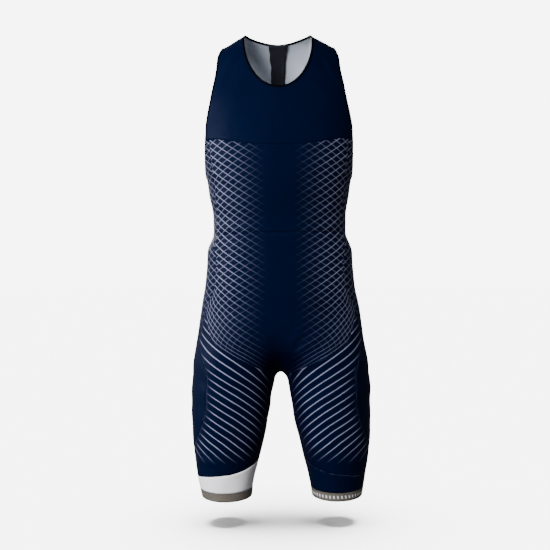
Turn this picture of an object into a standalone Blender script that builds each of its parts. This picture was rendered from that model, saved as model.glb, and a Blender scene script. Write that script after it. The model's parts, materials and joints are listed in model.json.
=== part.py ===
"""Sleeveless triathlon suit, filled out as it is worn: a cloth wall cut into panels, with a back zip.

Metres, +Z up. The front faces -Y and the wearer's left is +X. The origin is midway between the
shoulder straps, at the height where the shoulders carry them.
"""

import math
from collections import namedtuple

import bmesh
import bpy
from mathutils import Matrix, Vector

# Cloth and seams
WALL = 0.0014
GRIPPER_WALL = 0.0018
SEAM_GAP = 0.0003
BINDING_WIDTH = 0.0045
BINDING_THICKNESS = 0.0024
BINDING_ROUNDING = 0.3

# Heights of the seams. The line under the chest dips at the centre, and the gripper and the hem over
# the middle of the leg's front and back.
UNDER_CHEST_Z = -0.214
UNDER_CHEST_DIP = 0.0156
WAIST_Z = -0.403
CROTCH_Z = -0.691
ARMPIT_Z = -0.2835
GRIPPER_TOP_Z = -0.929
HEM_Z = -0.947
HEM_DIP = 0.0055

# Neck and shoulders
SHOULDER_TOP_Z = 0.0126
NECK_POINT_X = 0.066
NECK_WIDEST_X = 0.070
NECK_WIDEST_SHARE = 0.86
FRONT_NECK_DROP = 0.110
BACK_NECK_DROP = 0.0115
BACK_NECK_BEND = 1.6
SHOULDER_TIP_X = 0.1165
SHOULDER_TIP_Z = -0.0150
SLOPE_FADE = 0.12

# The bridge of cloth between the thighs is rounded over this half width
CROTCH_ROUND = 0.020

# Cells across half a front: the front proper, then the front half of the side panel
FRONT_COLUMNS = 8
SIDE_COLUMNS = 3
COLUMNS = FRONT_COLUMNS + SIDE_COLUMNS
NECK_COLUMNS = 7
ROWS = {"bib": 9, "midriff": 8, "lower": 9, "leg": 13, "band": 2, "gripper": 1}
ARMPIT_ROW = 3
INSET_TIP_ROW = 11
# How steeply the columns leave the neckline, how far the rows crowd down under the arm, and how
# far they crowd at the crotch, over the inner columns
COLUMN_SPREAD = 0.6
ARMPIT_CROWDING = 1.8
CROTCH_CROWDING = 0.8
CROWDED_COLUMNS = 5

# Zip at the centre back
ZIP_SLOT_HALF = 0.0034
TAPE_OUTER_X = 0.0140
TAPE_THICKNESS = 0.0010
TAPE_CLEARANCE = 0.0006
CHAIN_HALF_WIDTH = 0.0026
CHAIN_THICKNESS = 0.0022
GUARD_TOP_HALF = 0.0200
GUARD_LOW_HALF = 0.0150
GUARD_FADE = 0.060
SLIDER_DROP = 0.0130
SLIDER_PLATE = (0.0084, 0.0110, 0.0020)
SLIDER_BEVEL = 0.0006
SLIDER_WEB = (0.0056, 0.0099)
BRIDGE_SIZE = (0.0030, 0.0068, 0.0036)
BRIDGE_HOLE = (0.0042, 0.0024)
STOP_SIZE = (0.0056, 0.0036, 0.0026)
TAB_WIDTH = 0.0074
TAB_THICKNESS = 0.0014
TAB_LENGTH = 0.0300
TAB_SLOT = (0.0040, 0.0052)
TAB_BAR_RADIUS = 0.0008
TAB_BAR_LENGTH = 0.0066
TAB_LEAN = math.radians(4)
SMALL_BEVEL = 0.0004
ROUND_SEGMENTS = 12

# One row for each level of the body: half width over all, half gap between the rings of the two
# legs (negative where they overlap), depth in front of and behind the side line, and fullness,
# where 2 is an ellipse and more is squarer.
Level = namedtuple("Level", "z outer gap front back fullness")
LEVELS = (
    Level(0.030, 0.156, None, 0.000, 0.000, 2.4),
    Level(-0.050, 0.158, None, 0.000, 0.000, 2.4),
    Level(-0.100, 0.160, None, 0.000, 0.000, 2.4),
    Level(-0.190, 0.1640, None, 0.000, 0.000, 2.4),
    Level(-0.2275, 0.1617, None, 0.000, 0.000, 2.4),
    Level(-0.2535, 0.1583, None, 0.118, 0.1055, 2.4),
    Level(-0.2685, 0.1554, None, 0.1175, 0.1045, 2.4),
    Level(-0.2835, 0.1525, None, 0.117, 0.103, 2.35),
    Level(-0.310, 0.1470, None, 0.114, 0.097, 2.3),
    Level(-0.340, 0.1415, None, 0.109, 0.090, 2.3),
    Level(-0.372, 0.1375, None, 0.104, 0.085, 2.3),
    Level(-0.403, 0.1387, None, 0.101, 0.085, 2.3),
    Level(-0.441, 0.1500, None, 0.101, 0.092, 2.3),
    Level(-0.480, 0.1530, None, 0.102, 0.103, 2.3),
    Level(-0.517, 0.1575, None, 0.102, 0.113, 2.25),
    Level(-0.550, 0.1640, None, 0.101, 0.120, 2.2),
    Level(-0.570, 0.1670, -0.160, 0.100, 0.122, 2.2),
    Level(-0.600, 0.1710, -0.110, 0.098, 0.123, 2.2),
    Level(-0.631, 0.1755, -0.056, 0.096, 0.121, 2.2),
    Level(-0.651, 0.1790, -0.030, 0.095, 0.118, 2.2),
    Level(-0.671, 0.1820, -0.012, 0.093, 0.113, 2.2),
    Level(-0.691, 0.1840, 0.000, 0.092, 0.107, 2.15),
    Level(-0.706, 0.1855, 0.0137, 0.091, 0.103, 2.1),
    Level(-0.754, 0.1862, 0.0220, 0.087, 0.095, 2.1),
    Level(-0.804, 0.1862, 0.0315, 0.081, 0.087, 2.1),
    Level(-0.855, 0.1818, 0.0430, 0.073, 0.080, 2.1),
    Level(-0.905, 0.1745, 0.0557, 0.064, 0.072, 2.1),
    Level(-0.935, 0.1690, 0.0610, 0.060, 0.066, 2.1),
    Level(-0.970, 0.1620, 0.0650, 0.057, 0.062, 2.1),
)

# Depth of the cloth over the shoulders and chest, by the drop below the shoulder line
ShoulderDepth = namedtuple("ShoulderDepth", "drop front back")
SHOULDER_DEPTHS = (
    ShoulderDepth(0.000, 0.0000, 0.0000),
    ShoulderDepth(0.002, 0.0120, 0.0125),
    ShoulderDepth(0.008, 0.0275, 0.0290),
    ShoulderDepth(0.022, 0.0455, 0.0490),
    ShoulderDepth(0.055, 0.0670, 0.0760),
    ShoulderDepth(0.100, 0.0870, 0.0950),
    ShoulderDepth(0.150, 0.1050, 0.1060),
    ShoulderDepth(0.200, 0.1150, 0.1090),
    ShoulderDepth(0.2396, 0.1178, 0.1080),
    ShoulderDepth(0.2661, 0.1180, 0.1055),
)

# Half width between the armholes
ArmholeEdge = namedtuple("ArmholeEdge", "z x")
ARMHOLE_EDGE = (
    ArmholeEdge(-0.0150, 0.1165),
    ArmholeEdge(-0.0250, 0.1200),
    ArmholeEdge(-0.0400, 0.1250),
    ArmholeEdge(-0.0714, 0.1282),
    ArmholeEdge(-0.1050, 0.1338),
    ArmholeEdge(-0.1386, 0.1400),
    ArmholeEdge(-0.1600, 0.1450),
    ArmholeEdge(-0.1890, 0.1490),
    ArmholeEdge(-0.2270, 0.1500),
    ArmholeEdge(-0.2500, 0.1510),
    ArmholeEdge(-0.2680, 0.1520),
    ArmholeEdge(-0.2835, 0.1525),
)

# The long seam before and behind the side panel, as a share of the way from the middle of the
# ring out to its side
SidePanelSeam = namedtuple("SidePanelSeam", "z share")
SIDE_PANEL_SEAM = (
    SidePanelSeam(-0.214, 0.860),
    SidePanelSeam(-0.2835, 0.883),
    SidePanelSeam(-0.403, 0.935),
    SidePanelSeam(-0.468, 0.850),
    SidePanelSeam(-0.504, 0.850),
    SidePanelSeam(-0.5355, 0.885),
    SidePanelSeam(-0.554, 0.930),
    SidePanelSeam(-0.6216, 0.945),
    SidePanelSeam(-0.655, 0.800),
    SidePanelSeam(-0.693, 0.585),
    SidePanelSeam(-0.754, 0.560),
    SidePanelSeam(-0.802, 0.720),
    SidePanelSeam(-0.848, 1.000),
)

# The groin seam, from the crotch (column 0) up to the side panel
GROIN_SEAM_Z = (-0.691, -0.690, -0.684, -0.670, -0.652, -0.631, -0.607, -0.581, -0.554)

# The seam above the leg band, by the way round the leg from the inseam to the side
BandSeam = namedtuple("BandSeam", "way z")
BAND_SEAM = (BandSeam(0.0, -0.868), BandSeam(0.45, -0.895), BandSeam(1.0, -0.907))

# An edge bending less than this keeps one direction, and a sharp corner is not mitred past this
STRAIGHT_COSINE = 0.9
SHARPEST_SPREAD = 0.12
CREASE_ANGLE = math.radians(40)

NAVY = (0.0012, 0.0052, 0.0212)
WHITE = (0.80, 0.81, 0.84)
GRIPPER_GREY = (0.175, 0.155, 0.135)
BLACK = (0.010, 0.010, 0.012)
METAL = (0.35, 0.35, 0.37)

FRONT, BACK = -1, 1
LEFT, RIGHT = 1, -1
SIDE_NAMES = {LEFT: "left", RIGHT: "right"}


def smooth_lookup(points, at):
    """A curve through (place, value) points, with no overshoot between them."""
    points = sorted(points)
    places = [point[0] for point in points]
    values = [point[1] for point in points]
    if at <= places[0]:
        return values[0]
    if at >= places[-1]:
        return values[-1]
    slopes = [(values[i + 1] - values[i]) / (places[i + 1] - places[i]) for i in range(len(places) - 1)]
    i = max(index for index, place in enumerate(places) if place <= at)

    def tangent(index):
        if index == 0:
            return slopes[0]
        if index == len(places) - 1:
            return slopes[-1]
        before, after = slopes[index - 1], slopes[index]
        return 0.0 if before * after <= 0 else 2 * before * after / (before + after)

    width = places[i + 1] - places[i]
    t = (at - places[i]) / width
    start, end = tangent(i) * width, tangent(i + 1) * width
    rise = values[i + 1] - values[i]
    return values[i] + t * (start + t * (3 * rise - 2 * start - end + t * (start + end - 2 * rise)))


def column_of(rows, field):
    return [(row[0], getattr(row, field)) for row in rows if getattr(row, field) is not None]


def ring_inner(gap):
    """The inner end of a leg's ring before the rounding between the thighs."""
    return math.hypot(gap, CROTCH_ROUND) if gap > 0 else CROTCH_ROUND + gap


OUTER = column_of(LEVELS, "outer")
FULLNESS = column_of(LEVELS, "fullness")
INNER = [(level.z, ring_inner(level.gap)) for level in LEVELS if level.gap is not None]
RISE_TOP_Z = max(place for place, _ in INNER)
DEPTHS = {
    FRONT: [(level.z, level.front) for level in LEVELS if level.front > 0],
    BACK: [(level.z, level.back) for level in LEVELS if level.back > 0],
}
SHOULDERS = {FRONT: column_of(SHOULDER_DEPTHS, "front"), BACK: column_of(SHOULDER_DEPTHS, "back")}
CHEST_Z = max(place for place, _ in DEPTHS[FRONT])


def power(value, exponent):
    return math.copysign(abs(value) ** exponent, value)


def shoulder_line_z(x):
    """The height of the shoulder line: level across the neck, then falling to the strap's tip."""
    share = max(0.0, abs(x) - NECK_POINT_X) / (SHOULDER_TIP_X - NECK_POINT_X)
    return SHOULDER_TOP_Z + share * (SHOULDER_TIP_Z - SHOULDER_TOP_Z)


def depth_at(x, z, face):
    """How far the cloth stands before or behind the side line."""
    if z < CHEST_Z:
        return smooth_lookup(DEPTHS[face], z)
    drop = SHOULDER_TOP_Z - z
    slope_drop = SHOULDER_TOP_Z - shoulder_line_z(x)
    fade = max(0.0, 1.0 - max(0.0, drop - slope_drop) / SLOPE_FADE)
    return smooth_lookup(SHOULDERS[face], max(0.0, drop - slope_drop * fade))


def ring_at(z):
    """The middle and half width of one leg's ring, which reaches past the centre above the crotch."""
    outer = math.hypot(smooth_lookup(OUTER, z), CROTCH_ROUND)
    if z >= RISE_TOP_Z:
        return 0.0, outer
    inner = max(smooth_lookup(INNER, z), -outer)
    return (outer + inner) / 2, (outer - inner) / 2


def start_angle(z):
    """The angle on the ring where the cloth leaves the centre plane, 0 at the front."""
    middle, half = ring_at(z)
    if z <= CROTCH_Z:
        return -math.pi / 2
    sine = max(-1.0, min(1.0, (CROTCH_ROUND - middle) / half))
    return math.asin(power(sine, smooth_lookup(FULLNESS, z) / 2))


def share_angle(share, z):
    return math.asin(min(1.0, share) ** (smooth_lookup(FULLNESS, z) / 2))


def angle_across(x, z):
    """The angle on a ring, above the crotch, where the cloth is this far from the centre plane."""
    _, half = ring_at(z)
    sine = min(1.0, math.hypot(x, CROTCH_ROUND) / half)
    return math.asin(sine ** (smooth_lookup(FULLNESS, z) / 2))


def ring_point(angle, z, face):
    """The cloth's middle surface at this angle, from the front or the back, round to the side."""
    middle, half = ring_at(z)
    exponent = 2 / smooth_lookup(FULLNESS, z)
    raw = middle + half * power(math.sin(angle), exponent)
    x = math.sqrt(max(0.0, raw * raw - CROTCH_ROUND * CROTCH_ROUND))
    return Vector((x, face * depth_at(x, z, face) * power(math.cos(angle), exponent), z))


def armhole_angle(z):
    """Where the cloth ends at the armhole, or the side line below it."""
    if z <= ARMPIT_Z:
        return math.pi / 2
    return angle_across(smooth_lookup(ARMHOLE_EDGE, z), z)


def column_angle(column, z):
    """The angle of a column line: evenly spaced to the side panel's seam, then to the side."""
    first = start_angle(z)
    seam = share_angle(smooth_lookup(SIDE_PANEL_SEAM, z), z)
    if column <= FRONT_COLUMNS:
        return first + (seam - first) * column / FRONT_COLUMNS
    last = armhole_angle(z)
    return seam + (last - seam) * (column - FRONT_COLUMNS) / SIDE_COLUMNS


def neckline_point(share, face):
    """The neckline from the centre (0) to the shoulder seam (1), as x and z."""
    if face == BACK:
        across = math.sin(share * math.pi / 2)
        return NECK_POINT_X * across, SHOULDER_TOP_Z - BACK_NECK_DROP * (1 - across**BACK_NECK_BEND)
    if share <= NECK_WIDEST_SHARE:
        turn = share / NECK_WIDEST_SHARE * math.pi / 2
        return NECK_WIDEST_X * math.sin(turn), -FRONT_NECK_DROP * math.cos(turn)
    rise = (share - NECK_WIDEST_SHARE) / (1 - NECK_WIDEST_SHARE)
    return NECK_WIDEST_X + (NECK_POINT_X - NECK_WIDEST_X) * rise, SHOULDER_TOP_Z * rise


def top_edge_point(column, face):
    """The bib's top edge: the neckline, then the shoulder seam."""
    if column <= NECK_COLUMNS:
        return neckline_point(column / NECK_COLUMNS, face)
    way = (column - NECK_COLUMNS) / (COLUMNS - NECK_COLUMNS)
    x = NECK_POINT_X + (SHOULDER_TIP_X - NECK_POINT_X) * way
    return x, shoulder_line_z(x)


def under_chest_z(column):
    """The line under the chest, lowest at the centre."""
    share = min(1.0, column / FRONT_COLUMNS)
    return UNDER_CHEST_Z - UNDER_CHEST_DIP * math.cos(share * math.pi / 2) ** 2


def bib_point(column, rise, face):
    """The cloth between the line under the chest (rise 0) and the bib's top edge (rise 1)."""
    low_z = under_chest_z(column)
    low = ring_point(column_angle(column, low_z), low_z, face)
    top_x, top_z = top_edge_point(column, face)
    low_share = low.x / smooth_lookup(ARMHOLE_EDGE, low_z)
    top_share = top_x / smooth_lookup(ARMHOLE_EDGE, top_z)
    z = low_z + (top_z - low_z) * rise
    # The column lines leave the neckline steeply, so that the cells beside it keep their width.
    spread = (1 - rise) ** COLUMN_SPREAD
    x = (top_share + (low_share - top_share) * spread) * smooth_lookup(ARMHOLE_EDGE, z)
    return ring_point(angle_across(x, z), z, face)


def groin_z(column):
    return GROIN_SEAM_Z[min(column, FRONT_COLUMNS)]


def band_seam_z(column):
    way = min(1.0, column / FRONT_COLUMNS)
    return smooth_lookup(BAND_SEAM, way)


def hem_dip(column):
    """How far the gripper hangs below its ends at a column."""
    return HEM_DIP * math.sin(min(1.0, column / FRONT_COLUMNS) * math.pi)


def midriff_z(row, column):
    """Level rows, but for the side ones, which crowd together down the curve under the arm."""
    low_z = under_chest_z(column)
    level = low_z + (WAIST_Z - low_z) * row / ROWS["midriff"]
    if row <= ARMPIT_ROW:
        crowded = 1 - (1 - row / ARMPIT_ROW) ** ARMPIT_CROWDING
        curved = UNDER_CHEST_Z + (ARMPIT_Z - UNDER_CHEST_Z) * crowded
    else:
        below = (row - ARMPIT_ROW) / (ROWS["midriff"] - ARMPIT_ROW)
        curved = ARMPIT_Z + (WAIST_Z - ARMPIT_Z) * below
    share = max(0.0, column - NECK_COLUMNS) / (COLUMNS - NECK_COLUMNS)
    return level + (curved - level) * share


def eased(t, column, toward_end):
    """Row spacing, closer together at the crotch on the inner columns."""
    ease = 1.0 + CROTCH_CROWDING * max(0.0, 1.0 - column / CROWDED_COLUMNS)
    return 1 - (1 - t) ** ease if toward_end else t**ease


def row_z(zone, row, column):
    t = row / ROWS[zone]
    if zone == "midriff":
        return midriff_z(row, column)
    if zone == "lower":
        return WAIST_Z + (groin_z(column) - WAIST_Z) * eased(t, column, True)
    if zone == "leg":
        return groin_z(column) + (band_seam_z(column) - groin_z(column)) * eased(t, column, False)
    gripper_top = GRIPPER_TOP_Z - hem_dip(column)
    if zone == "band":
        return band_seam_z(column) + (gripper_top - band_seam_z(column)) * t
    return gripper_top + (HEM_Z - GRIPPER_TOP_Z) * t


def cloth_point(zone, row, column, face, side):
    if zone == "bib":
        point = bib_point(column, row / ROWS["bib"], face)
    else:
        z = row_z(zone, row, column)
        point = ring_point(column_angle(column, z), z, face)
    return Vector((point.x * side, point.y, point.z))


def key_of(point):
    """Points of two panels at one place share one key."""
    return tuple(round(value * 1e6) for value in point)


def cell_faces(zone, rows, columns, face, side):
    """The triangles of one stretch of the cloth, two to a cell, each turned outwards."""
    found = []
    for row in range(*rows):
        for column in range(*columns):
            places = ((row, column), (row, column + 1), (row + 1, column + 1), (row + 1, column))
            corners = [cloth_point(zone, r, c, face, side) for r, c in places]
            if (face * side > 0) == (zone == "bib"):
                corners.reverse()
            one, two, three, four = corners
            halves = ((one, two, three), (one, three, four))
            if (two - four).length < (one - three).length:
                halves = ((one, two, four), (two, three, four))
            found += [list(half) for half in halves if len({key_of(corner) for corner in half}) == 3]
    return found


def face_normal(corners):
    middle = sum(corners, Vector()) / len(corners)
    normal = Vector()
    for first, second in zip(corners, corners[1:] + corners[:1]):
        normal += (first - middle).cross(second - middle)
    return normal


def shared_normals(all_faces):
    """One outward direction for each place on the cloth, the same for the panels on both sides."""
    totals = {}
    for corners in all_faces:
        normal = face_normal(corners)
        for corner in corners:
            totals.setdefault(key_of(corner), Vector()).__iadd__(normal)
    return {key: total.normalized() for key, total in totals.items()}


class Edges:
    """Which cloth edges are bound or zipped, and how far a panel stays back from each."""

    def __init__(self):
        self.kinds = {"neck": set(), "armhole": set(), "zip": set()}
        bib_top = ROWS["bib"]
        for side in (LEFT, RIGHT):
            for face in (FRONT, BACK):
                self.kinds["neck"] |= {
                    key_of(cloth_point("bib", bib_top, column, face, side))
                    for column in range(NECK_COLUMNS + 1)
                }
                self.kinds["armhole"] |= {key_of(point) for point in armhole_chain(face, side)}
        self.kinds["zip"] |= {key_of(point) for point in back_centre_chain()}

    def stand_back(self, first, second):
        ends = {key_of(first), key_of(second)}
        if ends <= self.kinds["neck"] or ends <= self.kinds["armhole"]:
            return BINDING_WIDTH + SEAM_GAP / 2
        if ends <= self.kinds["zip"]:
            return ZIP_SLOT_HALF
        return SEAM_GAP / 2


def armhole_rows():
    """The (zone, row) levels down an armhole's edge, from the shoulder seam to the armpit."""
    rows = [("bib", row) for row in range(ROWS["bib"], 0, -1)]
    return rows + [("midriff", row) for row in range(ARMPIT_ROW + 1)]


def armhole_chain(face, side):
    return [cloth_point(zone, row, COLUMNS, face, side) for zone, row in armhole_rows()]


def back_centre_chain():
    """The centre back, from the neckline down to the waist seam."""
    bib = [cloth_point("bib", row, 0, BACK, LEFT) for row in range(ROWS["bib"], 0, -1)]
    return bib + [cloth_point("midriff", row, 0, BACK, LEFT) for row in range(ROWS["midriff"] + 1)]


def stretch(zone, faces, sides, rows=None, columns=(0, COLUMNS)):
    found = []
    for face in faces:
        for side in sides:
            found += cell_faces(zone, rows or (0, ROWS[zone]), columns, face, side)
    return found


def panel_cells():
    """Each panel's name and its triangles."""
    both = (LEFT, RIGHT)
    front_only = (0, FRONT_COLUMNS)
    side_only = (FRONT_COLUMNS, COLUMNS)
    panels = {
        "chest_panel": stretch("bib", (FRONT,), both),
        "midriff_panel": stretch("midriff", (FRONT,), both, columns=front_only),
        "lower_front_panel": stretch("lower", (FRONT,), both, columns=front_only),
        "seat_panel": stretch("lower", (BACK,), both, columns=front_only),
    }
    for side, name in SIDE_NAMES.items():
        one = (side,)
        panels[f"back_panel_{name}"] = stretch("bib", (BACK,), one) + stretch(
            "midriff", (BACK,), one, columns=front_only
        )
        panels[f"side_panel_{name}"] = (
            stretch("midriff", (FRONT, BACK), one, columns=side_only)
            + stretch("lower", (FRONT, BACK), one, columns=side_only)
            + stretch("leg", (FRONT, BACK), one, (0, INSET_TIP_ROW), side_only)
        )
        panels[f"leg_front_{name}"] = stretch("leg", (FRONT,), one, columns=front_only)
        panels[f"leg_back_{name}"] = stretch("leg", (BACK,), one, columns=front_only)
        panels[f"leg_band_{name}"] = stretch("band", (FRONT, BACK), one, columns=front_only)
        panels[f"leg_gripper_{name}"] = stretch("gripper", (FRONT, BACK), one, columns=front_only)
    return panels


def boundary_edges(faces):
    """The edges that only one face uses, each with that face's middle."""
    used = {}
    for corners in faces:
        middle = sum(corners, Vector()) / len(corners)
        for first, second in zip(corners, corners[1:] + corners[:1]):
            used.setdefault(frozenset((key_of(first), key_of(second))), []).append((first, second, middle))
    return [found[0] for found in used.values() if len(found) == 1]


def edge_shifts(faces, normals, edges, bound=None):
    """How far each point on a panel's edge moves inwards to leave the seam's gap or the binding's place.

    bound holds the whole cloth's own shifts, which a panel keeps where a seam meets a bound edge.
    """
    pulls = {}
    for first, second, middle in boundary_edges(faces):
        along = (second - first).normalized()
        distance = edges.stand_back(first, second)
        for corner in (first, second):
            inward = along.cross(normals[key_of(corner)]).normalized()
            if inward.dot(middle - corner) < 0:
                inward.negate()
            pulls.setdefault(key_of(corner), []).append((inward, distance))
    shifts = {}
    for key, found in pulls.items():
        (one, one_distance), (two, two_distance) = (found * 2)[:2]
        if bound and key in bound and one_distance != two_distance:
            seam = one if one_distance < two_distance else two
            kept = bound[key]
            shifts[key] = kept + seam * (min(one_distance, two_distance) - kept.dot(seam))
            continue
        cosine = one.dot(two)
        if cosine > STRAIGHT_COSINE:
            shifts[key] = (one + two).normalized() * max(one_distance, two_distance)
            continue
        spread = max(SHARPEST_SPREAD, 1 - cosine * cosine)
        shifts[key] = (
            one * (one_distance - cosine * two_distance) + two * (two_distance - cosine * one_distance)
        ) / spread
    return shifts


def follow_shoulder_seams(bound):
    """Turns the shift at both ends of each shoulder seam along the seam, so that the corners meet there."""
    top = ROWS["bib"]
    for side in (LEFT, RIGHT):
        for column, next_column in ((NECK_COLUMNS, NECK_COLUMNS + 1), (COLUMNS, COLUMNS - 1)):
            point = cloth_point("bib", top, column, FRONT, side)
            seam = (cloth_point("bib", top, next_column, FRONT, side) - point).normalized()
            kept = bound[key_of(point)]
            bound[key_of(point)] = seam * (kept.length_squared / kept.dot(seam))


def wall_mesh(name, faces, normals, shifts, thickness):
    """A cloth wall of this thickness about the faces, closed at its edges."""
    mesh = bmesh.new()
    corners_at = {}
    for corners in faces:
        for corner in corners:
            key = key_of(corner)
            if key not in corners_at:
                place = corner + shifts.get(key, Vector())
                half = normals[key] * (thickness / 2)
                corners_at[key] = (mesh.verts.new(place + half), mesh.verts.new(place - half))
    for corners in faces:
        keys = [key_of(corner) for corner in corners]
        mesh.faces.new([corners_at[key][0] for key in keys])
        mesh.faces.new([corners_at[key][1] for key in reversed(keys)])
    for first, second, _ in boundary_edges(faces):
        one, two = corners_at[key_of(first)], corners_at[key_of(second)]
        # Both panels at a seam split their rims along the same diagonal, so the gap stays even.
        if key_of(first) < key_of(second):
            mesh.faces.new((two[0], one[0], one[1]))
            mesh.faces.new((two[0], one[1], two[1]))
        else:
            mesh.faces.new((two[0], one[0], two[1]))
            mesh.faces.new((one[0], one[1], two[1]))
    data = bpy.data.meshes.new(name)
    mesh.to_mesh(data)
    mesh.free()
    return data


def material(name, color, roughness, metallic=0.0):
    made = bpy.data.materials.new(name)
    made.use_nodes = True
    shader = made.node_tree.nodes["Principled BSDF"]
    shader.inputs["Base Color"].default_value = (*color, 1.0)
    shader.inputs["Roughness"].default_value = roughness
    shader.inputs["Metallic"].default_value = metallic
    return made


def add_object(name, data, finish, collection):
    made = bpy.data.objects.new(name, data)
    data.materials.append(finish)
    data.shade_smooth()
    data.set_sharp_from_angle(angle=CREASE_ANGLE)
    collection.objects.link(made)
    return made


def swept_bar(name, chain, section, closed):
    """A bar through (point, inward, normal) places, with the section's (inward, normal) corners."""
    mesh = bmesh.new()
    rings = [
        [mesh.verts.new(point + inward * across + normal * up) for across, up in section]
        for point, inward, normal in chain
    ]
    count = len(section)
    pairs = list(zip(rings, rings[1:] + rings[:1])) if closed else list(zip(rings, rings[1:]))
    for ring, following in pairs:
        for i in range(count):
            j = (i + 1) % count
            mesh.faces.new((ring[i], ring[j], following[j], following[i]))
    if not closed:
        mesh.faces.new(list(reversed(rings[0])))
        mesh.faces.new(rings[-1])
    bmesh.ops.recalc_face_normals(mesh, faces=mesh.faces)
    data = bpy.data.meshes.new(name)
    mesh.to_mesh(data)
    mesh.free()
    return data


def edge_frames(points, normals, shifts):
    """Each point of a bound edge, with the directions into the cloth and out of its face."""
    stand_back = BINDING_WIDTH + SEAM_GAP / 2
    return [(point, shifts[key_of(point)] / stand_back, normals[key_of(point)]) for point in points]


def rounded_section(low, high, thickness):
    """A flat hexagon from low to high across, with its corners cut back."""
    cut = thickness * BINDING_ROUNDING
    half = thickness / 2
    return (
        (low, 0.0), (low + cut, half), (high - cut, half),
        (high, 0.0), (high - cut, -half), (low + cut, -half),
    )


def neck_chain():
    """The neckline from the zip's right side round the front to its left side."""
    top = ROWS["bib"]
    back_right = [cloth_point("bib", top, c, BACK, RIGHT) for c in range(0, NECK_COLUMNS)]
    front_right = [cloth_point("bib", top, c, FRONT, RIGHT) for c in range(NECK_COLUMNS, 0, -1)]
    front_left = [cloth_point("bib", top, c, FRONT, LEFT) for c in range(0, NECK_COLUMNS + 1)]
    back_left = [cloth_point("bib", top, c, BACK, LEFT) for c in range(NECK_COLUMNS - 1, -1, -1)]
    return back_right + front_right + front_left + back_left


def binding_meshes(normals, shifts):
    meshes = {}
    section = rounded_section(0.0, BINDING_WIDTH - SEAM_GAP / 2, BINDING_THICKNESS)
    frames = edge_frames(neck_chain(), normals, shifts)
    for end, sign in ((0, RIGHT), (-1, LEFT)):
        point, inward, normal = frames[end]
        frames[end] = (point + Vector((sign * ZIP_SLOT_HALF, 0, 0)), inward, normal)
    meshes["neck_binding"] = swept_bar("neck_binding", frames, section, closed=False)
    for side, name in SIDE_NAMES.items():
        ring = armhole_chain(FRONT, side) + armhole_chain(BACK, side)[-2:0:-1]
        frames = edge_frames(ring, normals, shifts)
        label = f"armhole_binding_{name}"
        meshes[label] = swept_bar(label, frames, section, closed=True)
    return meshes


class CentreBack:
    """The line down the centre back that the zip follows, measured from the neckline."""

    def __init__(self):
        self.points = back_centre_chain()
        self.drops = [0.0]
        for first, second in zip(self.points, self.points[1:]):
            self.drops.append(self.drops[-1] + (second - first).length)

    @property
    def length(self):
        return self.drops[-1]

    def place(self, drop):
        """The point, the way up the back and the way out of it, this far down the line."""
        i = max(index for index in range(len(self.drops) - 1) if self.drops[index] <= drop)
        first, second = self.points[i], self.points[i + 1]
        up = (first - second).normalized()
        point = first - up * (drop - self.drops[i])
        return point, up, up.cross(Vector((1, 0, 0))).normalized()

    def places(self, start, end):
        """Places from one drop to another, with each bend of the line between them."""
        found = [self.place(start)]
        for i in range(1, len(self.points) - 1):
            if start < self.drops[i] < end:
                up = (self.points[i - 1] - self.points[i + 1]).normalized()
                found.append((self.points[i], up, up.cross(Vector((1, 0, 0))).normalized()))
        return found + [self.place(end)]


def back_surface_point(x, place):
    """The back's point beside a centre-back place, at the same level."""
    beside = ring_point(angle_across(x, place.z), place.z, BACK)
    centre = ring_point(angle_across(0, place.z), place.z, BACK)
    return Vector((x, place.y + beside.y - centre.y, place.z))


def layer_strip(name, places, half_widths, inset, thickness):
    """A strip under the back between two x values at each place, this far in from the cloth's middle."""
    chain = []
    for (point, _, out), (low_x, high_x) in zip(places, half_widths):
        low, high = back_surface_point(low_x, point), back_surface_point(high_x, point)
        chain.append([low - out * inset, high - out * inset])
        chain[-1] += [high - out * (inset + thickness), low - out * (inset + thickness)]
    mesh = bmesh.new()
    rings = [[mesh.verts.new(corner) for corner in corners] for corners in chain]
    for ring, following in zip(rings, rings[1:]):
        for i in range(4):
            j = (i + 1) % 4
            mesh.faces.new((ring[i], ring[j], following[j], following[i]))
    mesh.faces.new(list(reversed(rings[0])))
    mesh.faces.new(rings[-1])
    bmesh.ops.recalc_face_normals(mesh, faces=mesh.faces)
    data = bpy.data.meshes.new(name)
    mesh.to_mesh(data)
    mesh.free()
    return data


def guard_half_width(drop):
    fade = min(1.0, drop / GUARD_FADE)
    return GUARD_TOP_HALF + (GUARD_LOW_HALF - GUARD_TOP_HALF) * fade


def add_zip_strips(centre_back, collection):
    """The two tapes, the closed chain in the slot between the back panels, and the guard behind them."""
    end = centre_back.length - SEAM_GAP / 2
    tape_inset = WALL / 2 + TAPE_CLEARANCE
    tape_places = centre_back.places(BINDING_WIDTH + SEAM_GAP, end)
    strips = {}
    for side, name in SIDE_NAMES.items():
        widths = [tuple(sorted((side * SEAM_GAP / 2, side * TAPE_OUTER_X)))] * len(tape_places)
        label = f"zip_tape_{name}"
        strips[label] = layer_strip(label, tape_places, widths, tape_inset, TAPE_THICKNESS)
    chain_top = SLIDER_DROP + SLIDER_PLATE[1] / 2 + SEAM_GAP
    chain_places = centre_back.places(chain_top, centre_back.length - 2 * STOP_SIZE[1])
    widths = [(-CHAIN_HALF_WIDTH, CHAIN_HALF_WIDTH)] * len(chain_places)
    chain_inset = WALL / 2 - CHAIN_THICKNESS
    strips["zip_chain"] = layer_strip("zip_chain", chain_places, widths, chain_inset, CHAIN_THICKNESS)
    guard_places = centre_back.places(SEAM_GAP, end)
    top_z = guard_places[0][0].z
    halves = [guard_half_width(top_z - point.z) for point, _, _ in guard_places]
    guard_inset = tape_inset + TAPE_THICKNESS + TAPE_CLEARANCE
    widths = [(-half, half) for half in halves]
    strips["zip_guard"] = layer_strip("zip_guard", guard_places, widths, guard_inset, WALL)
    for name, data in strips.items():
        add_object(name, data, material(name, BLACK, 0.6), collection)


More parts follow.
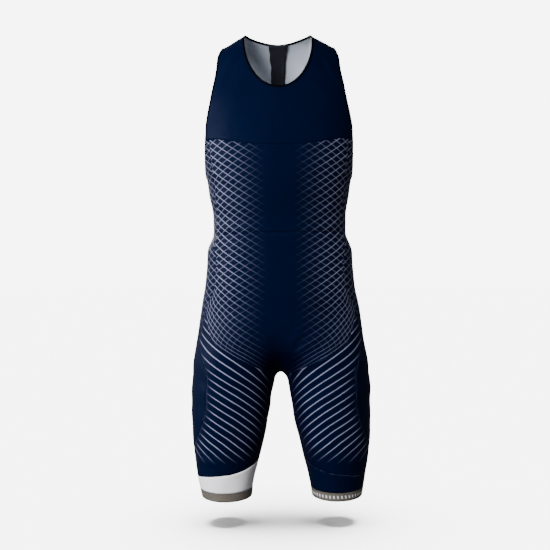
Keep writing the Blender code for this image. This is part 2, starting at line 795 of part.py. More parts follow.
def frame_matrix(point, up, out):
    """An upright frame on the back: local Y runs up the zip and local Z stands out of it."""
    across = up.cross(out)
    return Matrix.Translation(point) @ Matrix((across, up, out)).transposed().to_4x4()


def box_data(name, size, centre, bevel=0.0):
    mesh = bmesh.new()
    bmesh.ops.create_cube(mesh, size=1, matrix=Matrix.Translation(centre) @ Matrix.Diagonal((*size, 1)))
    if bevel:
        bmesh.ops.bevel(mesh, geom=mesh.edges[:], offset=bevel, segments=1, affect="EDGES")
    data = bpy.data.meshes.new(name)
    mesh.to_mesh(data)
    mesh.free()
    return data


def combine(target, helper_data, matrix, operation, helpers):
    """Joins a helper solid to the target, or cuts it away."""
    helper = bpy.data.objects.new(helper_data.name, helper_data)
    helper.matrix_world = matrix
    helper.hide_render = True
    helper.display_type = "WIRE"
    helpers.objects.link(helper)
    modifier = target.modifiers.new(helper_data.name, "BOOLEAN")
    modifier.operation = operation
    modifier.object = helper


def add_zip_slider(centre_back, collection, helpers):
    """The slider: a plate on the slot's edges, a web in the slot and a bridge with a hole for the tab."""
    matrix = frame_matrix(*centre_back.place(SLIDER_DROP))
    plate_low = WALL / 2 + SEAM_GAP
    plate_middle = plate_low + SLIDER_PLATE[2] / 2
    plate_top = plate_low + SLIDER_PLATE[2]
    finish = material("zip_slider", METAL, 0.35, 1.0)
    plate = box_data("zip_slider", SLIDER_PLATE, (0, 0, plate_middle), bevel=SLIDER_BEVEL)
    slider = add_object("zip_slider", plate, finish, collection)
    slider.matrix_world = matrix
    web_low = -WALL / 2
    web_size = (*SLIDER_WEB, plate_middle - web_low)
    web = box_data("slider_web", web_size, (0, 0, (web_low + plate_middle) / 2))
    combine(slider, web, matrix, "UNION", helpers)
    bridge_middle = plate_top + BRIDGE_SIZE[2] / 2 - SEAM_GAP
    combine(slider, box_data("slider_bridge", BRIDGE_SIZE, (0, 0, bridge_middle)), matrix, "UNION", helpers)
    pivot_height = plate_top + BRIDGE_HOLE[1] / 2
    hole_size = (BRIDGE_SIZE[0] * 2, BRIDGE_HOLE[0], BRIDGE_HOLE[1])
    combine(slider, box_data("bridge_hole", hole_size, (0, 0, pivot_height)), matrix, "DIFFERENCE", helpers)
    return matrix @ Matrix.Translation((0, 0, pivot_height))


def add_pull_tab(pivot, collection, helpers):
    """The flat tab, turned about the round bar that lies in the slider's bridge."""
    matrix = pivot @ Matrix.Rotation(TAB_LEAN, 4, "X")
    plate_length = TAB_LENGTH - TAB_BAR_RADIUS
    plate_size = (TAB_WIDTH, plate_length, TAB_THICKNESS)
    plate = box_data("zip_pull_tab", plate_size, (0, -plate_length / 2, 0), bevel=SMALL_BEVEL)
    tab = add_object("zip_pull_tab", plate, material("zip_pull_tab", BLACK, 0.5), collection)
    tab.matrix_world = matrix
    slot_size = (TAB_SLOT[0], TAB_SLOT[1] * 2, TAB_THICKNESS * 2)
    combine(tab, box_data("tab_slot", slot_size, (0, 0, 0)), matrix, "DIFFERENCE", helpers)
    bar = bmesh.new()
    turned = Matrix.Rotation(math.pi / 2, 4, "Y")
    bmesh.ops.create_cone(
        bar, cap_ends=True, segments=ROUND_SEGMENTS, radius1=TAB_BAR_RADIUS, radius2=TAB_BAR_RADIUS,
        depth=TAB_BAR_LENGTH, matrix=turned,
    )
    data = bpy.data.meshes.new("tab_bar")
    bar.to_mesh(data)
    bar.free()
    combine(tab, data, matrix, "UNION", helpers)


def add_bottom_stop(centre_back, collection):
    point, up, out = centre_back.place(centre_back.length - STOP_SIZE[1])
    stop = box_data("zip_bottom_stop", STOP_SIZE, (0, 0, WALL / 2), bevel=SMALL_BEVEL)
    made = add_object("zip_bottom_stop", stop, material("zip_bottom_stop", METAL, 0.35, 1.0), collection)
    made.matrix_world = frame_matrix(point, up, out)


def clear_scene():
    for found in list(bpy.data.objects):
        bpy.data.objects.remove(found, do_unlink=True)


def cloth_finish(name):
    """A panel's colour, roughness and thickness."""
    if name.startswith("leg_gripper"):
        return GRIPPER_GREY, 0.7, GRIPPER_WALL
    return (WHITE if name == "leg_band_right" else NAVY), 0.55, WALL


def add_cloth(collection):
    """The cloth panels, and the bindings round the neck and armholes."""
    panels = panel_cells()
    cloth = [face for faces in panels.values() for face in faces]
    normals = shared_normals(cloth)
    edges = Edges()
    bound = edge_shifts(cloth, normals, edges)
    follow_shoulder_seams(bound)
    for name, faces in panels.items():
        color, roughness, thickness = cloth_finish(name)
        data = wall_mesh(name, faces, normals, edge_shifts(faces, normals, edges, bound), thickness)
        add_object(name, data, material(name, color, roughness), collection)
    for name, data in binding_meshes(normals, bound).items():
        add_object(name, data, material(name, BLACK, 0.6), collection)


def new_collection(name):
    made = bpy.data.collections.new(name)
    bpy.context.scene.collection.children.link(made)
    return made


def main():
    clear_scene()
    suit = new_collection("triathlon_suit")
    cutters = new_collection("cutters")
    add_cloth(suit)
    centre_back = CentreBack()
    add_zip_strips(centre_back, suit)
    pivot = add_zip_slider(centre_back, suit, cutters)
    add_pull_tab(pivot, suit, cutters)
    add_bottom_stop(centre_back, suit)


main()
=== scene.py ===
"""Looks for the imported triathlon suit: cloth, seams, bindings, zip, finishes and studio.

Metres, +Z up. The suit's front faces -Y and the wearer's left is +X.
"""

import itertools
import json
import logging
import math
from dataclasses import dataclass, field
from enum import Enum
from functools import partial
from typing import Any, Callable, Iterable, Sequence

import bmesh
import bpy
import numpy as np
from mathutils import Matrix, Vector
from mathutils.bvhtree import BVHTree

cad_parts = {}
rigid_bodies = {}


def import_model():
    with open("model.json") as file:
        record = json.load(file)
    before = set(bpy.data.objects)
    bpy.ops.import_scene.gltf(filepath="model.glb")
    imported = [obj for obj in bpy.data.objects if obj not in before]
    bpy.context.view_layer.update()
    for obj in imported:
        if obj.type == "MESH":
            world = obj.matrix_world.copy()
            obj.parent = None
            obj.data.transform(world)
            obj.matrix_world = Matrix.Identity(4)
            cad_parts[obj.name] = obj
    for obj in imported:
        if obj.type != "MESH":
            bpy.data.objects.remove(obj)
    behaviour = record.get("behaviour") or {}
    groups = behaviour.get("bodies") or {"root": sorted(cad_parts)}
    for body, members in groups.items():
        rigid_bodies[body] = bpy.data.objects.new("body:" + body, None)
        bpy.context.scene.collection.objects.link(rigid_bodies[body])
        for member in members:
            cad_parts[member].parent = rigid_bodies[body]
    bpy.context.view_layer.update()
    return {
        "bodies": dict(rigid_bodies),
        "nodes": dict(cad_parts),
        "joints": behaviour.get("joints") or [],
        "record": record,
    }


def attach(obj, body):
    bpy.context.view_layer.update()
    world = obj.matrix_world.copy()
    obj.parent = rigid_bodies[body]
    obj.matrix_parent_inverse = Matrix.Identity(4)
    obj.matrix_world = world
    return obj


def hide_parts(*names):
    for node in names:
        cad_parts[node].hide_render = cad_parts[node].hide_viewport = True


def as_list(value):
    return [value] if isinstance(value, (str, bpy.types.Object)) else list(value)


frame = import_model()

LOG = logging.getLogger("suit")
Array = np.ndarray

FRONT, BACK = -1, 1
LEFT, RIGHT = 1, -1
FACES, SIDES = (FRONT, BACK), (LEFT, RIGHT)
SIDE_NAMES = {LEFT: "left", RIGHT: "right"}
SUIT, TAB = "suit", "pull_tab"


# ---- the form that the cloth follows

UNDER_CHEST_Z, WAIST_Z, CROTCH_Z, ARMPIT_Z = -0.214, -0.403, -0.691, -0.2835
GRIPPER_TOP_Z, HEM_Z = -0.929, -0.947
UNDER_CHEST_DIP, HEM_DIP = 0.0156, 0.0055
SHOULDER_TOP_Z = 0.0126
NECK_POINT_X, NECK_WIDEST_X, NECK_WIDEST_SHARE = 0.066, 0.070, 0.86
FRONT_NECK_DROP, BACK_NECK_DROP, BACK_NECK_BEND = 0.110, 0.0115, 1.6
SHOULDER_TIP_X, SHOULDER_TIP_Z, SLOPE_FADE = 0.1165, -0.0150, 0.12
CROTCH_ROUND = 0.020
FRONT_COLUMNS, COLUMNS, NECK_COLUMNS = 8, 11, 7
ROWS = {"bib": 9, "midriff": 8, "lower": 9, "leg": 13, "band": 2, "gripper": 1}
ARMPIT_ROW, INSET_TIP_ROW = 3, 11
COLUMN_SPREAD, ARMPIT_CROWDING, CROTCH_CROWDING, CROWDED_COLUMNS = 0.6, 1.8, 0.8, 5
# The slot for the zip, and how far beside it the cloth is shifted, in full and at all
ZIP_SLOT_HALF, SLOT_FULL_X, SLOT_NONE_X = 0.0034, 0.03, 0.09

# z, half width, half gap between the legs' rings, depth before and behind the side line, fullness
LEVELS = (
    (0.030, 0.156, None, 0, 0, 2.4), (-0.050, 0.158, None, 0, 0, 2.4),
    (-0.100, 0.160, None, 0, 0, 2.4), (-0.190, 0.1640, None, 0, 0, 2.4),
    (-0.2275, 0.1617, None, 0, 0, 2.4), (-0.2535, 0.1583, None, 0.118, 0.1055, 2.4),
    (-0.2685, 0.1554, None, 0.1175, 0.1045, 2.4), (-0.2835, 0.1525, None, 0.117, 0.103, 2.35),
    (-0.310, 0.1470, None, 0.114, 0.097, 2.3), (-0.340, 0.1415, None, 0.109, 0.090, 2.3),
    (-0.372, 0.1375, None, 0.104, 0.085, 2.3), (-0.403, 0.1387, None, 0.101, 0.085, 2.3),
    (-0.441, 0.1500, None, 0.101, 0.092, 2.3), (-0.480, 0.1530, None, 0.102, 0.103, 2.3),
    (-0.517, 0.1575, None, 0.102, 0.113, 2.25), (-0.550, 0.1640, None, 0.101, 0.120, 2.2),
    (-0.570, 0.1670, -0.160, 0.100, 0.122, 2.2), (-0.600, 0.1710, -0.110, 0.098, 0.123, 2.2),
    (-0.631, 0.1755, -0.056, 0.096, 0.121, 2.2), (-0.651, 0.1790, -0.030, 0.095, 0.118, 2.2),
    (-0.671, 0.1820, -0.012, 0.093, 0.113, 2.2), (-0.691, 0.1840, 0.000, 0.092, 0.107, 2.15),
    (-0.706, 0.1855, 0.0137, 0.091, 0.103, 2.1), (-0.754, 0.1862, 0.0220, 0.087, 0.095, 2.1),
    (-0.804, 0.1862, 0.0315, 0.081, 0.087, 2.1), (-0.855, 0.1818, 0.0430, 0.073, 0.080, 2.1),
    (-0.905, 0.1745, 0.0557, 0.064, 0.072, 2.1), (-0.935, 0.1690, 0.0610, 0.060, 0.066, 2.1),
    (-0.970, 0.1620, 0.0650, 0.057, 0.062, 2.1),
)
# Drop below the shoulder line, depth before and behind
SHOULDER_DEPTHS = (
    (0.000, 0.0000, 0.0000), (0.002, 0.0120, 0.0125), (0.008, 0.0275, 0.0290),
    (0.022, 0.0455, 0.0490), (0.055, 0.0670, 0.0760), (0.100, 0.0870, 0.0950),
    (0.150, 0.1050, 0.1060), (0.200, 0.1150, 0.1090), (0.2396, 0.1178, 0.1080),
    (0.2661, 0.1180, 0.1055),
)
ARMHOLE_EDGE = (
    (-0.0150, 0.1165), (-0.0250, 0.1200), (-0.0400, 0.1250), (-0.0714, 0.1282), (-0.1050, 0.1338),
    (-0.1386, 0.1400), (-0.1600, 0.1450), (-0.1890, 0.1490), (-0.2270, 0.1500), (-0.2500, 0.1510),
    (-0.2680, 0.1520), (-0.2835, 0.1525),
)
SIDE_PANEL_SEAM = (
    (-0.214, 0.860), (-0.2835, 0.883), (-0.403, 0.935), (-0.468, 0.850), (-0.504, 0.850),
    (-0.5355, 0.885), (-0.554, 0.930), (-0.6216, 0.945), (-0.655, 0.800), (-0.693, 0.585),
    (-0.754, 0.560), (-0.802, 0.720), (-0.848, 1.000),
)
GROIN_SEAM_Z = (-0.691, -0.690, -0.684, -0.670, -0.652, -0.631, -0.607, -0.581, -0.554)
BAND_SEAM = ((0.0, -0.868), (0.45, -0.895), (1.0, -0.907))


class Curve:
    """A curve through (place, value) points that never overshoots them."""

    def __init__(self, points: Iterable[Sequence[float]]) -> None:
        """Sorts the points and finds the slope at each.

        Args:
            points: the (place, value) pairs.
        """
        ordered = sorted((point[0], point[1]) for point in points)
        self.at = np.array([point[0] for point in ordered])
        self.value = np.array([point[1] for point in ordered])
        steps = np.diff(self.value) / np.diff(self.at)
        product = steps[:-1] * steps[1:]
        total = steps[:-1] + steps[1:]
        safe = np.where(product > 0, total, 1.0)
        inside = np.where(product > 0, 2 * product / safe, 0.0)
        self.slope = np.concatenate(([steps[0]], inside, [steps[-1]]))

    def __call__(self, at: Array | float) -> Array:
        """The curve's value at each place, level beyond its ends."""
        at = np.clip(at, self.at[0], self.at[-1])
        i = np.clip(np.searchsorted(self.at, at, side="right") - 1, 0, len(self.at) - 2)
        width = self.at[i + 1] - self.at[i]
        t = (at - self.at[i]) / width
        start, end = self.slope[i] * width, self.slope[i + 1] * width
        rise = self.value[i + 1] - self.value[i]
        bend = 3 * rise - 2 * start - end + t * (start + end - 2 * rise)
        return self.value[i] + t * (start + t * bend)


def power(value: Array, exponent: Array | float) -> Array:
    """A power that keeps the sign of its base."""
    return np.sign(value) * np.abs(value) ** exponent


def smoothstep(low: float, high: float, at: Array | float) -> Array:
    """0 below low, 1 above high and a soft rise between them; low may be the greater."""
    t = np.clip((at - low) / (high - low), 0.0, 1.0)
    return t * t * (3 - 2 * t)


def unit(vectors: Array) -> Array:
    """The same directions, each one long."""
    return vectors / np.linalg.norm(vectors, axis=-1, keepdims=True)


def distances(line: Array) -> Array:
    """How far along a line each of its points is."""
    return np.concatenate([[0.0], np.cumsum(np.linalg.norm(np.diff(line, axis=0), axis=1))])


def ring_inner(gap: float) -> float:
    """The inner end of a leg's ring before the rounding between the thighs."""
    return math.hypot(gap, CROTCH_ROUND) if gap > 0 else CROTCH_ROUND + gap


class SuitForm:
    """The filled-out form, as a surface over zone, row, column, face and side."""

    def __init__(self) -> None:
        """Makes the curves that shape the form."""
        self.outer = Curve((row[0], row[1]) for row in LEVELS)
        self.fullness = Curve((row[0], row[5]) for row in LEVELS)
        inner = [(row[0], ring_inner(row[2])) for row in LEVELS if row[2] is not None]
        self.inner = Curve(inner)
        self.rise_top = max(place for place, _ in inner)
        self.depth = {
            FRONT: Curve((row[0], row[3]) for row in LEVELS if row[3]),
            BACK: Curve((row[0], row[4]) for row in LEVELS if row[4]),
        }
        self.shoulder = {
            FRONT: Curve(SHOULDER_DEPTHS),
            BACK: Curve((row[0], row[2]) for row in SHOULDER_DEPTHS),
        }
        self.chest_z = self.depth[FRONT].at[-1]
        self.armhole = Curve(ARMHOLE_EDGE)
        self.seam_share = Curve(SIDE_PANEL_SEAM)
        self.groin = Curve(enumerate(GROIN_SEAM_Z))
        self.band_seam = Curve(BAND_SEAM)

    def shoulder_line(self, x: Array) -> Array:
        """The height of the shoulder line over a point across the body."""
        share = np.maximum(0.0, np.abs(x) - NECK_POINT_X) / (SHOULDER_TIP_X - NECK_POINT_X)
        return SHOULDER_TOP_Z + share * (SHOULDER_TIP_Z - SHOULDER_TOP_Z)

    def depth_at(self, x: Array, z: Array, face: int) -> Array:
        """How far the cloth stands before or behind the side line."""
        drop = SHOULDER_TOP_Z - z
        slope_drop = SHOULDER_TOP_Z - self.shoulder_line(x)
        fade = np.maximum(0.0, 1.0 - np.maximum(0.0, drop - slope_drop) / SLOPE_FADE)
        high = self.shoulder[face](np.maximum(0.0, drop - slope_drop * fade))
        return np.where(z < self.chest_z, self.depth[face](z), high)

    def ring(self, z: Array) -> tuple[Array, Array]:
        """The middle and the half width of one leg's ring."""
        outer = np.hypot(self.outer(z), CROTCH_ROUND)
        inner = np.where(z >= self.rise_top, -outer, np.maximum(self.inner(z), -outer))
        return (outer + inner) / 2, (outer - inner) / 2

    def start_angle(self, z: Array) -> Array:
        """The angle on the ring where the cloth leaves the centre plane."""
        middle, half = self.ring(z)
        sine = np.clip((CROTCH_ROUND - middle) / half, -1.0, 1.0)
        return np.where(z <= CROTCH_Z, -math.pi / 2, np.arcsin(power(sine, self.fullness(z) / 2)))

    def angle_across(self, x: Array, z: Array) -> Array:
        """The angle on a ring where the cloth is this far from the centre plane."""
        middle, half = self.ring(z)
        sine = np.clip((np.hypot(x, CROTCH_ROUND) - middle) / half, -1.0, 1.0)
        return np.arcsin(power(sine, self.fullness(z) / 2))

    def point(self, angle: Array, z: Array, face: int) -> Array:
        """The cloth's middle surface on the wearer's left.

        Args:
            angle: the place round the ring, 0 at the front or back and a quarter turn at the side.
            z: the height.
            face: FRONT or BACK.

        Returns:
            Points, with x, y and z last.
        """
        middle, half = self.ring(z)
        exponent = 2 / self.fullness(z)
        raw = middle + half * power(np.sin(angle), exponent)
        x = np.sqrt(np.maximum(0.0, raw * raw - CROTCH_ROUND * CROTCH_ROUND))
        y = face * self.depth_at(x, z, face) * power(np.cos(angle), exponent)
        return np.stack(np.broadcast_arrays(x, y, z), axis=-1)

    def on_surface(self, x: float, z: float, face: int) -> Array:
        """The point of the surface in front of or behind this place, on its own side."""
        found = self.point(self.angle_across(np.abs(x), np.array(z)), np.array(z), face)
        return np.array((math.copysign(float(found[0]), x), found[1], found[2]))

    def column_angle(self, column: Array, z: Array) -> Array:
        """The angle of a column line: even steps to the side panel's seam, then to the side."""
        first = self.start_angle(z)
        seam = np.arcsin(np.minimum(1.0, self.seam_share(z)) ** (self.fullness(z) / 2))
        open_edge = self.angle_across(self.armhole(z), z)
        last = np.where(z <= ARMPIT_Z, math.pi / 2, open_edge)
        inside = first + (seam - first) * column / FRONT_COLUMNS
        beside = seam + (last - seam) * (column - FRONT_COLUMNS) / (COLUMNS - FRONT_COLUMNS)
        return np.where(column <= FRONT_COLUMNS, inside, beside)

    def top_edge(self, column: Array, face: int) -> tuple[Array, Array]:
        """The neckline and then the shoulder seam, as x and z."""
        share = np.minimum(1.0, column / NECK_COLUMNS)
        if face == BACK:
            across = np.sin(share * math.pi / 2)
            neck_x = NECK_POINT_X * across
            neck_z = SHOULDER_TOP_Z - BACK_NECK_DROP * (1 - across**BACK_NECK_BEND)
        else:
            turn = np.minimum(1.0, share / NECK_WIDEST_SHARE) * math.pi / 2
            rise = np.maximum(0.0, share - NECK_WIDEST_SHARE) / (1 - NECK_WIDEST_SHARE)
            neck_x = NECK_WIDEST_X * np.sin(turn) + (NECK_POINT_X - NECK_WIDEST_X) * rise
            neck_z = -FRONT_NECK_DROP * np.cos(turn) + SHOULDER_TOP_Z * rise
        way = (column - NECK_COLUMNS) / (COLUMNS - NECK_COLUMNS)
        seam_x = NECK_POINT_X + (SHOULDER_TIP_X - NECK_POINT_X) * way
        on_neck, seam_z = column <= NECK_COLUMNS, self.shoulder_line(seam_x)
        return np.where(on_neck, neck_x, seam_x), np.where(on_neck, neck_z, seam_z)

    @staticmethod
    def under_chest_z(column: Array) -> Array:
        """The line under the chest, lowest at the centre."""
        share = np.minimum(1.0, column / FRONT_COLUMNS)
        return UNDER_CHEST_Z - UNDER_CHEST_DIP * np.cos(share * math.pi / 2) ** 2

    def bib(self, rise: Array, column: Array, face: int) -> Array:
        """The cloth from the line under the chest (rise 0) to the neck and shoulders (rise 1)."""
        low_z = self.under_chest_z(column)
        low_x = self.point(self.column_angle(column, low_z), low_z, face)[..., 0]
        top_x, top_z = self.top_edge(column, face)
        low_share = low_x / self.armhole(low_z)
        top_share = top_x / self.armhole(top_z)
        z = low_z + (top_z - low_z) * rise
        spread = (1 - rise) ** COLUMN_SPREAD
        x = (top_share + (low_share - top_share) * spread) * self.armhole(z)
        return self.point(self.angle_across(x, z), z, face)

    def midriff_z(self, row: Array, column: Array) -> Array:
        """Level rows, but for the side ones, which crowd down the curve under the arm."""
        low_z = self.under_chest_z(column)
        level = low_z + (WAIST_Z - low_z) * row / ROWS["midriff"]
        crowded = 1 - (1 - np.minimum(1.0, row / ARMPIT_ROW)) ** ARMPIT_CROWDING
        above = UNDER_CHEST_Z + (ARMPIT_Z - UNDER_CHEST_Z) * crowded
        lower_rows = ROWS["midriff"] - ARMPIT_ROW
        below = ARMPIT_Z + (WAIST_Z - ARMPIT_Z) * (row - ARMPIT_ROW) / lower_rows
        curved = np.where(row <= ARMPIT_ROW, above, below)
        share = np.maximum(0.0, column - NECK_COLUMNS) / (COLUMNS - NECK_COLUMNS)
        return level + (curved - level) * share

    def row_z(self, zone: str, row: Array, column: Array) -> Array:
        """The height of a zone's row at a column."""
        if zone == "midriff":
            return self.midriff_z(row, column)
        t = row / ROWS[zone]
        groin = self.groin(np.minimum(column, FRONT_COLUMNS))
        share = np.minimum(1.0, column / FRONT_COLUMNS)
        band = self.band_seam(share)
        ease = 1.0 + CROTCH_CROWDING * np.maximum(0.0, 1.0 - column / CROWDED_COLUMNS)
        if zone == "lower":
            return WAIST_Z + (groin - WAIST_Z) * (1 - (1 - t) ** ease)
        if zone == "leg":
            return groin + (band - groin) * t**ease
        gripper_top = GRIPPER_TOP_Z - HEM_DIP * np.sin(share * math.pi)
        if zone == "band":
            return band + (gripper_top - band) * t
        return gripper_top + (HEM_Z - GRIPPER_TOP_Z) * t

    def grid(self, zone: str, face: int, side: int, cell: int) -> Array:
        """A zone's points over one quarter of the suit.

        Args:
            zone: one of ROWS.
            face: FRONT or BACK.
            side: LEFT or RIGHT.
            cell: how many fine steps stand for one row or column.

        Returns:
            Points by fine row and fine column.
        """
        rows, columns = (np.arange(count * cell + 1) / cell for count in (ROWS[zone], COLUMNS))
        row, column = np.meshgrid(rows, columns, indexing="ij")
        if zone == "bib":
            points = self.bib(row / ROWS["bib"], column, face)
        else:
            z = self.row_z(zone, row, column)
            points = self.point(self.column_angle(column, z), z, face)
        if face == BACK and zone in ("bib", "midriff"):
            x, z = points[..., 0], points[..., 2]
            slot = ZIP_SLOT_HALF * smoothstep(SLOT_NONE_X, SLOT_FULL_X, x)
            points = self.point(self.angle_across(np.hypot(x, slot), z), z, face)
        points[..., 0] *= side
        return points


# ---- creases

@dataclass(frozen=True)
class Crease:
    """A soft ridge (or with a negative height a trough) of cloth along a bent line."""

    face: int
    start: tuple[float, float]
    end: tuple[float, float]
    bow: float = 0.0
    width: float = 0.008
    height: float = 0.0016

    def path(self, form: SuitForm, count: int = 14) -> Array:
        """Points along the crease on the form's surface."""
        (x0, z0), (x1, z1) = self.start, self.end
        found = []
        across, up = x1 - x0, z1 - z0
        length = math.hypot(across, up)
        for t in np.linspace(0.0, 1.0, count):
            lift = self.bow * 4 * t * (1 - t)
            x = x0 + across * t - lift * up / length
            z = z0 + up * t + lift * across / length
            found.append(form.on_surface(x, z, self.face))
        return np.array(found)


def mirrored(creases: Iterable[Crease], drift: float = 0.004) -> list[Crease]:
    """The creases, each with a twin across the centre plane, near its mirror image."""
    found = []
    for i, crease in enumerate(creases):
        shift = drift * math.sin(2.3 * i + 0.7)
        (x0, z0), (x1, z1) = crease.start, crease.end
        start, end = (-x0, z0 + shift), (-x1, z1 - shift)
        height = crease.height * (0.85 + 0.25 * math.sin(1.7 * i))
        found += [crease, Crease(crease.face, start, end, -crease.bow, crease.width, height)]
    return found


# Start x and z, end x and z, bow, width and height of the creases on the wearer's left
CREASE_ROWS = {
    FRONT: (
        # Under the arms and over the flanks
        (0.150, -0.243, 0.098, -0.262, 0.006, 0.0075, 0.0024),
        (0.150, -0.268, 0.085, -0.300, 0.006, 0.0080, 0.0023),
        (0.128, -0.180, 0.150, -0.232, 0.004, 0.0070, 0.0019),
        (0.136, -0.352, 0.060, -0.372, -0.006, 0.0090, 0.0024),
        (0.137, -0.384, 0.045, -0.394, 0.005, 0.0085, 0.0025),
        (0.140, -0.418, 0.070, -0.420, -0.004, 0.0080, 0.0019),
        # Round the shoulder straps
        (0.080, -0.030, 0.120, -0.110, 0.006, 0.0090, 0.0021),
        (0.060, -0.100, 0.105, -0.145, 0.006, 0.0120, 0.0018),
        # From the groin, up over the belly and down the thigh
        (0.020, -0.668, 0.082, -0.610, 0.006, 0.0075, 0.0027),
        (0.012, -0.652, 0.050, -0.590, 0.005, 0.0075, 0.0021),
        (0.028, -0.690, 0.100, -0.655, 0.007, 0.0085, 0.0027),
        (0.036, -0.712, 0.110, -0.706, 0.010, 0.0090, 0.0024),
        (0.044, -0.760, 0.100, -0.742, 0.008, 0.0090, 0.0019),
        (0.178, -0.700, 0.140, -0.728, 0.006, 0.0090, 0.0019),
        (0.062, -0.846, 0.120, -0.838, 0.006, 0.0080, 0.0018),
        (0.176, -0.868, 0.128, -0.880, -0.005, 0.0075, 0.0021),
    ),
    BACK: (
        # Shoulder blades, small of the back, under the seat and beside the knees
        (0.146, -0.236, 0.078, -0.262, 0.008, 0.0085, 0.0027),
        (0.148, -0.270, 0.072, -0.302, 0.008, 0.0085, 0.0027),
        (0.136, -0.342, 0.040, -0.356, -0.008, 0.0090, 0.0033),
        (0.134, -0.372, 0.036, -0.380, 0.006, 0.0085, 0.0036),
        (0.140, -0.418, 0.040, -0.412, -0.005, 0.0080, 0.0030),
        (0.086, -0.040, 0.112, -0.130, 0.006, 0.0090, 0.0021),
        (0.030, -0.676, 0.120, -0.664, -0.012, 0.0090, 0.0033),
        (0.040, -0.704, 0.128, -0.694, -0.010, 0.0085, 0.0030),
        (0.020, -0.640, 0.074, -0.604, 0.008, 0.0085, 0.0024),
        (0.052, -0.772, 0.140, -0.764, 0.008, 0.0090, 0.0021),
        (0.064, -0.850, 0.150, -0.842, 0.007, 0.0080, 0.0024),
        (0.168, -0.872, 0.110, -0.862, 0.006, 0.0075, 0.0021),
    ),
}
CREASES = mirrored(
    Crease(face, row[:2], row[2:4], *row[4:])
    for face, rows in CREASE_ROWS.items() for row in rows
)


@dataclass
class Folds:
    """How far the cloth stands off the form in creases and soft waves."""

    form: SuitForm
    # A crease lifts only the cloth this near to its middle
    reach: float = 0.12
    # Its width at its start and what it gains to its end, as shares
    start_width: float = 0.75
    gain: float = 0.5
    # The dip beside its ridge: how deep, as a share of its height, and how many times as wide
    dip: float = 0.55
    dip_width: float = 2.1
    # How much the ridge's height wanders
    unevenness: float = 0.3
    wave: float = 0.0010
    fine_wave: float = 0.00025
    # Beside the zip the cloth lies flat, and it waves freely from the second distance on
    flat_half: float = 0.018
    free_half: float = 0.045

    def __post_init__(self) -> None:
        """Keeps each crease's path."""
        self.paths = [(crease, crease.path(self.form)) for crease in CREASES]

    @staticmethod
    def along(points: Array, path: Array) -> tuple[Array, Array]:
        """Each point's distance from a path, and its way along it from 0 to 1."""
        best = np.full(len(points), np.inf)
        way = np.zeros(len(points))
        count = len(path) - 1
        for i in range(count):
            run = path[i + 1] - path[i]
            t = np.clip(((points - path[i]) @ run) / (run @ run), 0.0, 1.0)
            distance = np.linalg.norm(points - path[i] - t[:, None] * run, axis=1)
            nearer = distance < best
            best = np.where(nearer, distance, best)
            way = np.where(nearer, (i + t) / count, way)
        return best, way

    def height(self, points: Array) -> Array:
        """The lift of the cloth off the form at each point, in metres."""
        lift = np.zeros(len(points))
        for i, (crease, path) in enumerate(self.paths):
            near = np.linalg.norm(points - path.mean(axis=0), axis=1) < self.reach
            distance, way = self.along(points[near], path)
            width = crease.width * (self.start_width + self.gain * way)
            ridge = np.exp(-((distance / width) ** 2))
            ridge = ridge - self.dip * np.exp(-((distance / (self.dip_width * width)) ** 2))
            taper = np.sin(math.pi * np.clip(way, 0.02, 0.98)) ** 0.6
            uneven = 1.0 + self.unevenness * np.sin(way * 9.0 + i * 1.9)
            lift[near] += crease.height * ridge * taper * uneven
        x, y, z = points.T
        wave = np.sin(23 * x + 31 * z + 4 * np.sin(17 * z))
        wave = wave * np.sin(27 * z - 19 * y + 3 * np.sin(13 * x))
        fine = np.sin(71 * z + 40 * x + 6 * np.sin(29 * x)) * np.sin(60 * y - 47 * z)
        lift += self.wave * wave + self.fine_wave * fine
        centre_back = (y > 0) & (z > WAIST_Z - 0.03)
        freed = smoothstep(self.flat_half, self.free_half, np.abs(x))
        return np.where(centre_back, lift * freed, lift)


# ---- nodes and colours

def linear(hex_color: str) -> tuple[float, float, float, float]:
    """An sRGB hex colour as linear red, green, blue and alpha."""
    parts = [int(hex_color[i : i + 2], 16) / 255 for i in (1, 3, 5)]
    made = [part / 12.92 if part <= 0.04045 else ((part + 0.055) / 1.055) ** 2.4 for part in parts]
    return made[0], made[1], made[2], 1.0


MATH, RANGE = "ShaderNodeMath:", "ShaderNodeMapRange"
COMBINE, PLACED = "ShaderNodeCombineXYZ", "GeometryNodeTransform"
# A Mix node's two colours, and its output where it mixes colours
FIRST, SECOND, MIXED = 6, 7, 2
# A Map Range node's limits, in and out
IN_LOW, IN_HIGH, OUT_LOW, OUT_HIGH = 1, 2, 3, 4
# Limits out that turn a mask over: 1 where the value is low and 0 where it is high
TURNED = {OUT_LOW: 1.0, OUT_HIGH: 0.0}


def add_node(
    tree: Any, kind: str, inputs: dict[Any, Any] | Sequence[Any] = (), output: int | str = 0,
    **settings: Any,
) -> Any:
    """Adds a node.

    Args:
        tree: the node tree.
        kind: the node's type, with its operation after a colon where it has one.
        inputs: a value, a socket to link or a list of sockets, by each input's name or number.
        output: the name or number of the output that is wanted.
        settings: the node's own options.

    Returns:
        The output's socket, or None where the node has none.
    """
    kind, _, operation = kind.partition(":")
    made = tree.nodes.new(kind)
    if operation:
        made.operation = operation
    for name, value in settings.items():
        setattr(made, name, value)
    for key, given in inputs.items() if isinstance(inputs, dict) else enumerate(inputs):
        for value in given if isinstance(given, list) else [given]:
            if isinstance(value, bpy.types.NodeSocket):
                tree.links.new(value, made.inputs[key])
            else:
                made.inputs[key].default_value = value
    return made.outputs[output] if made.outputs else None


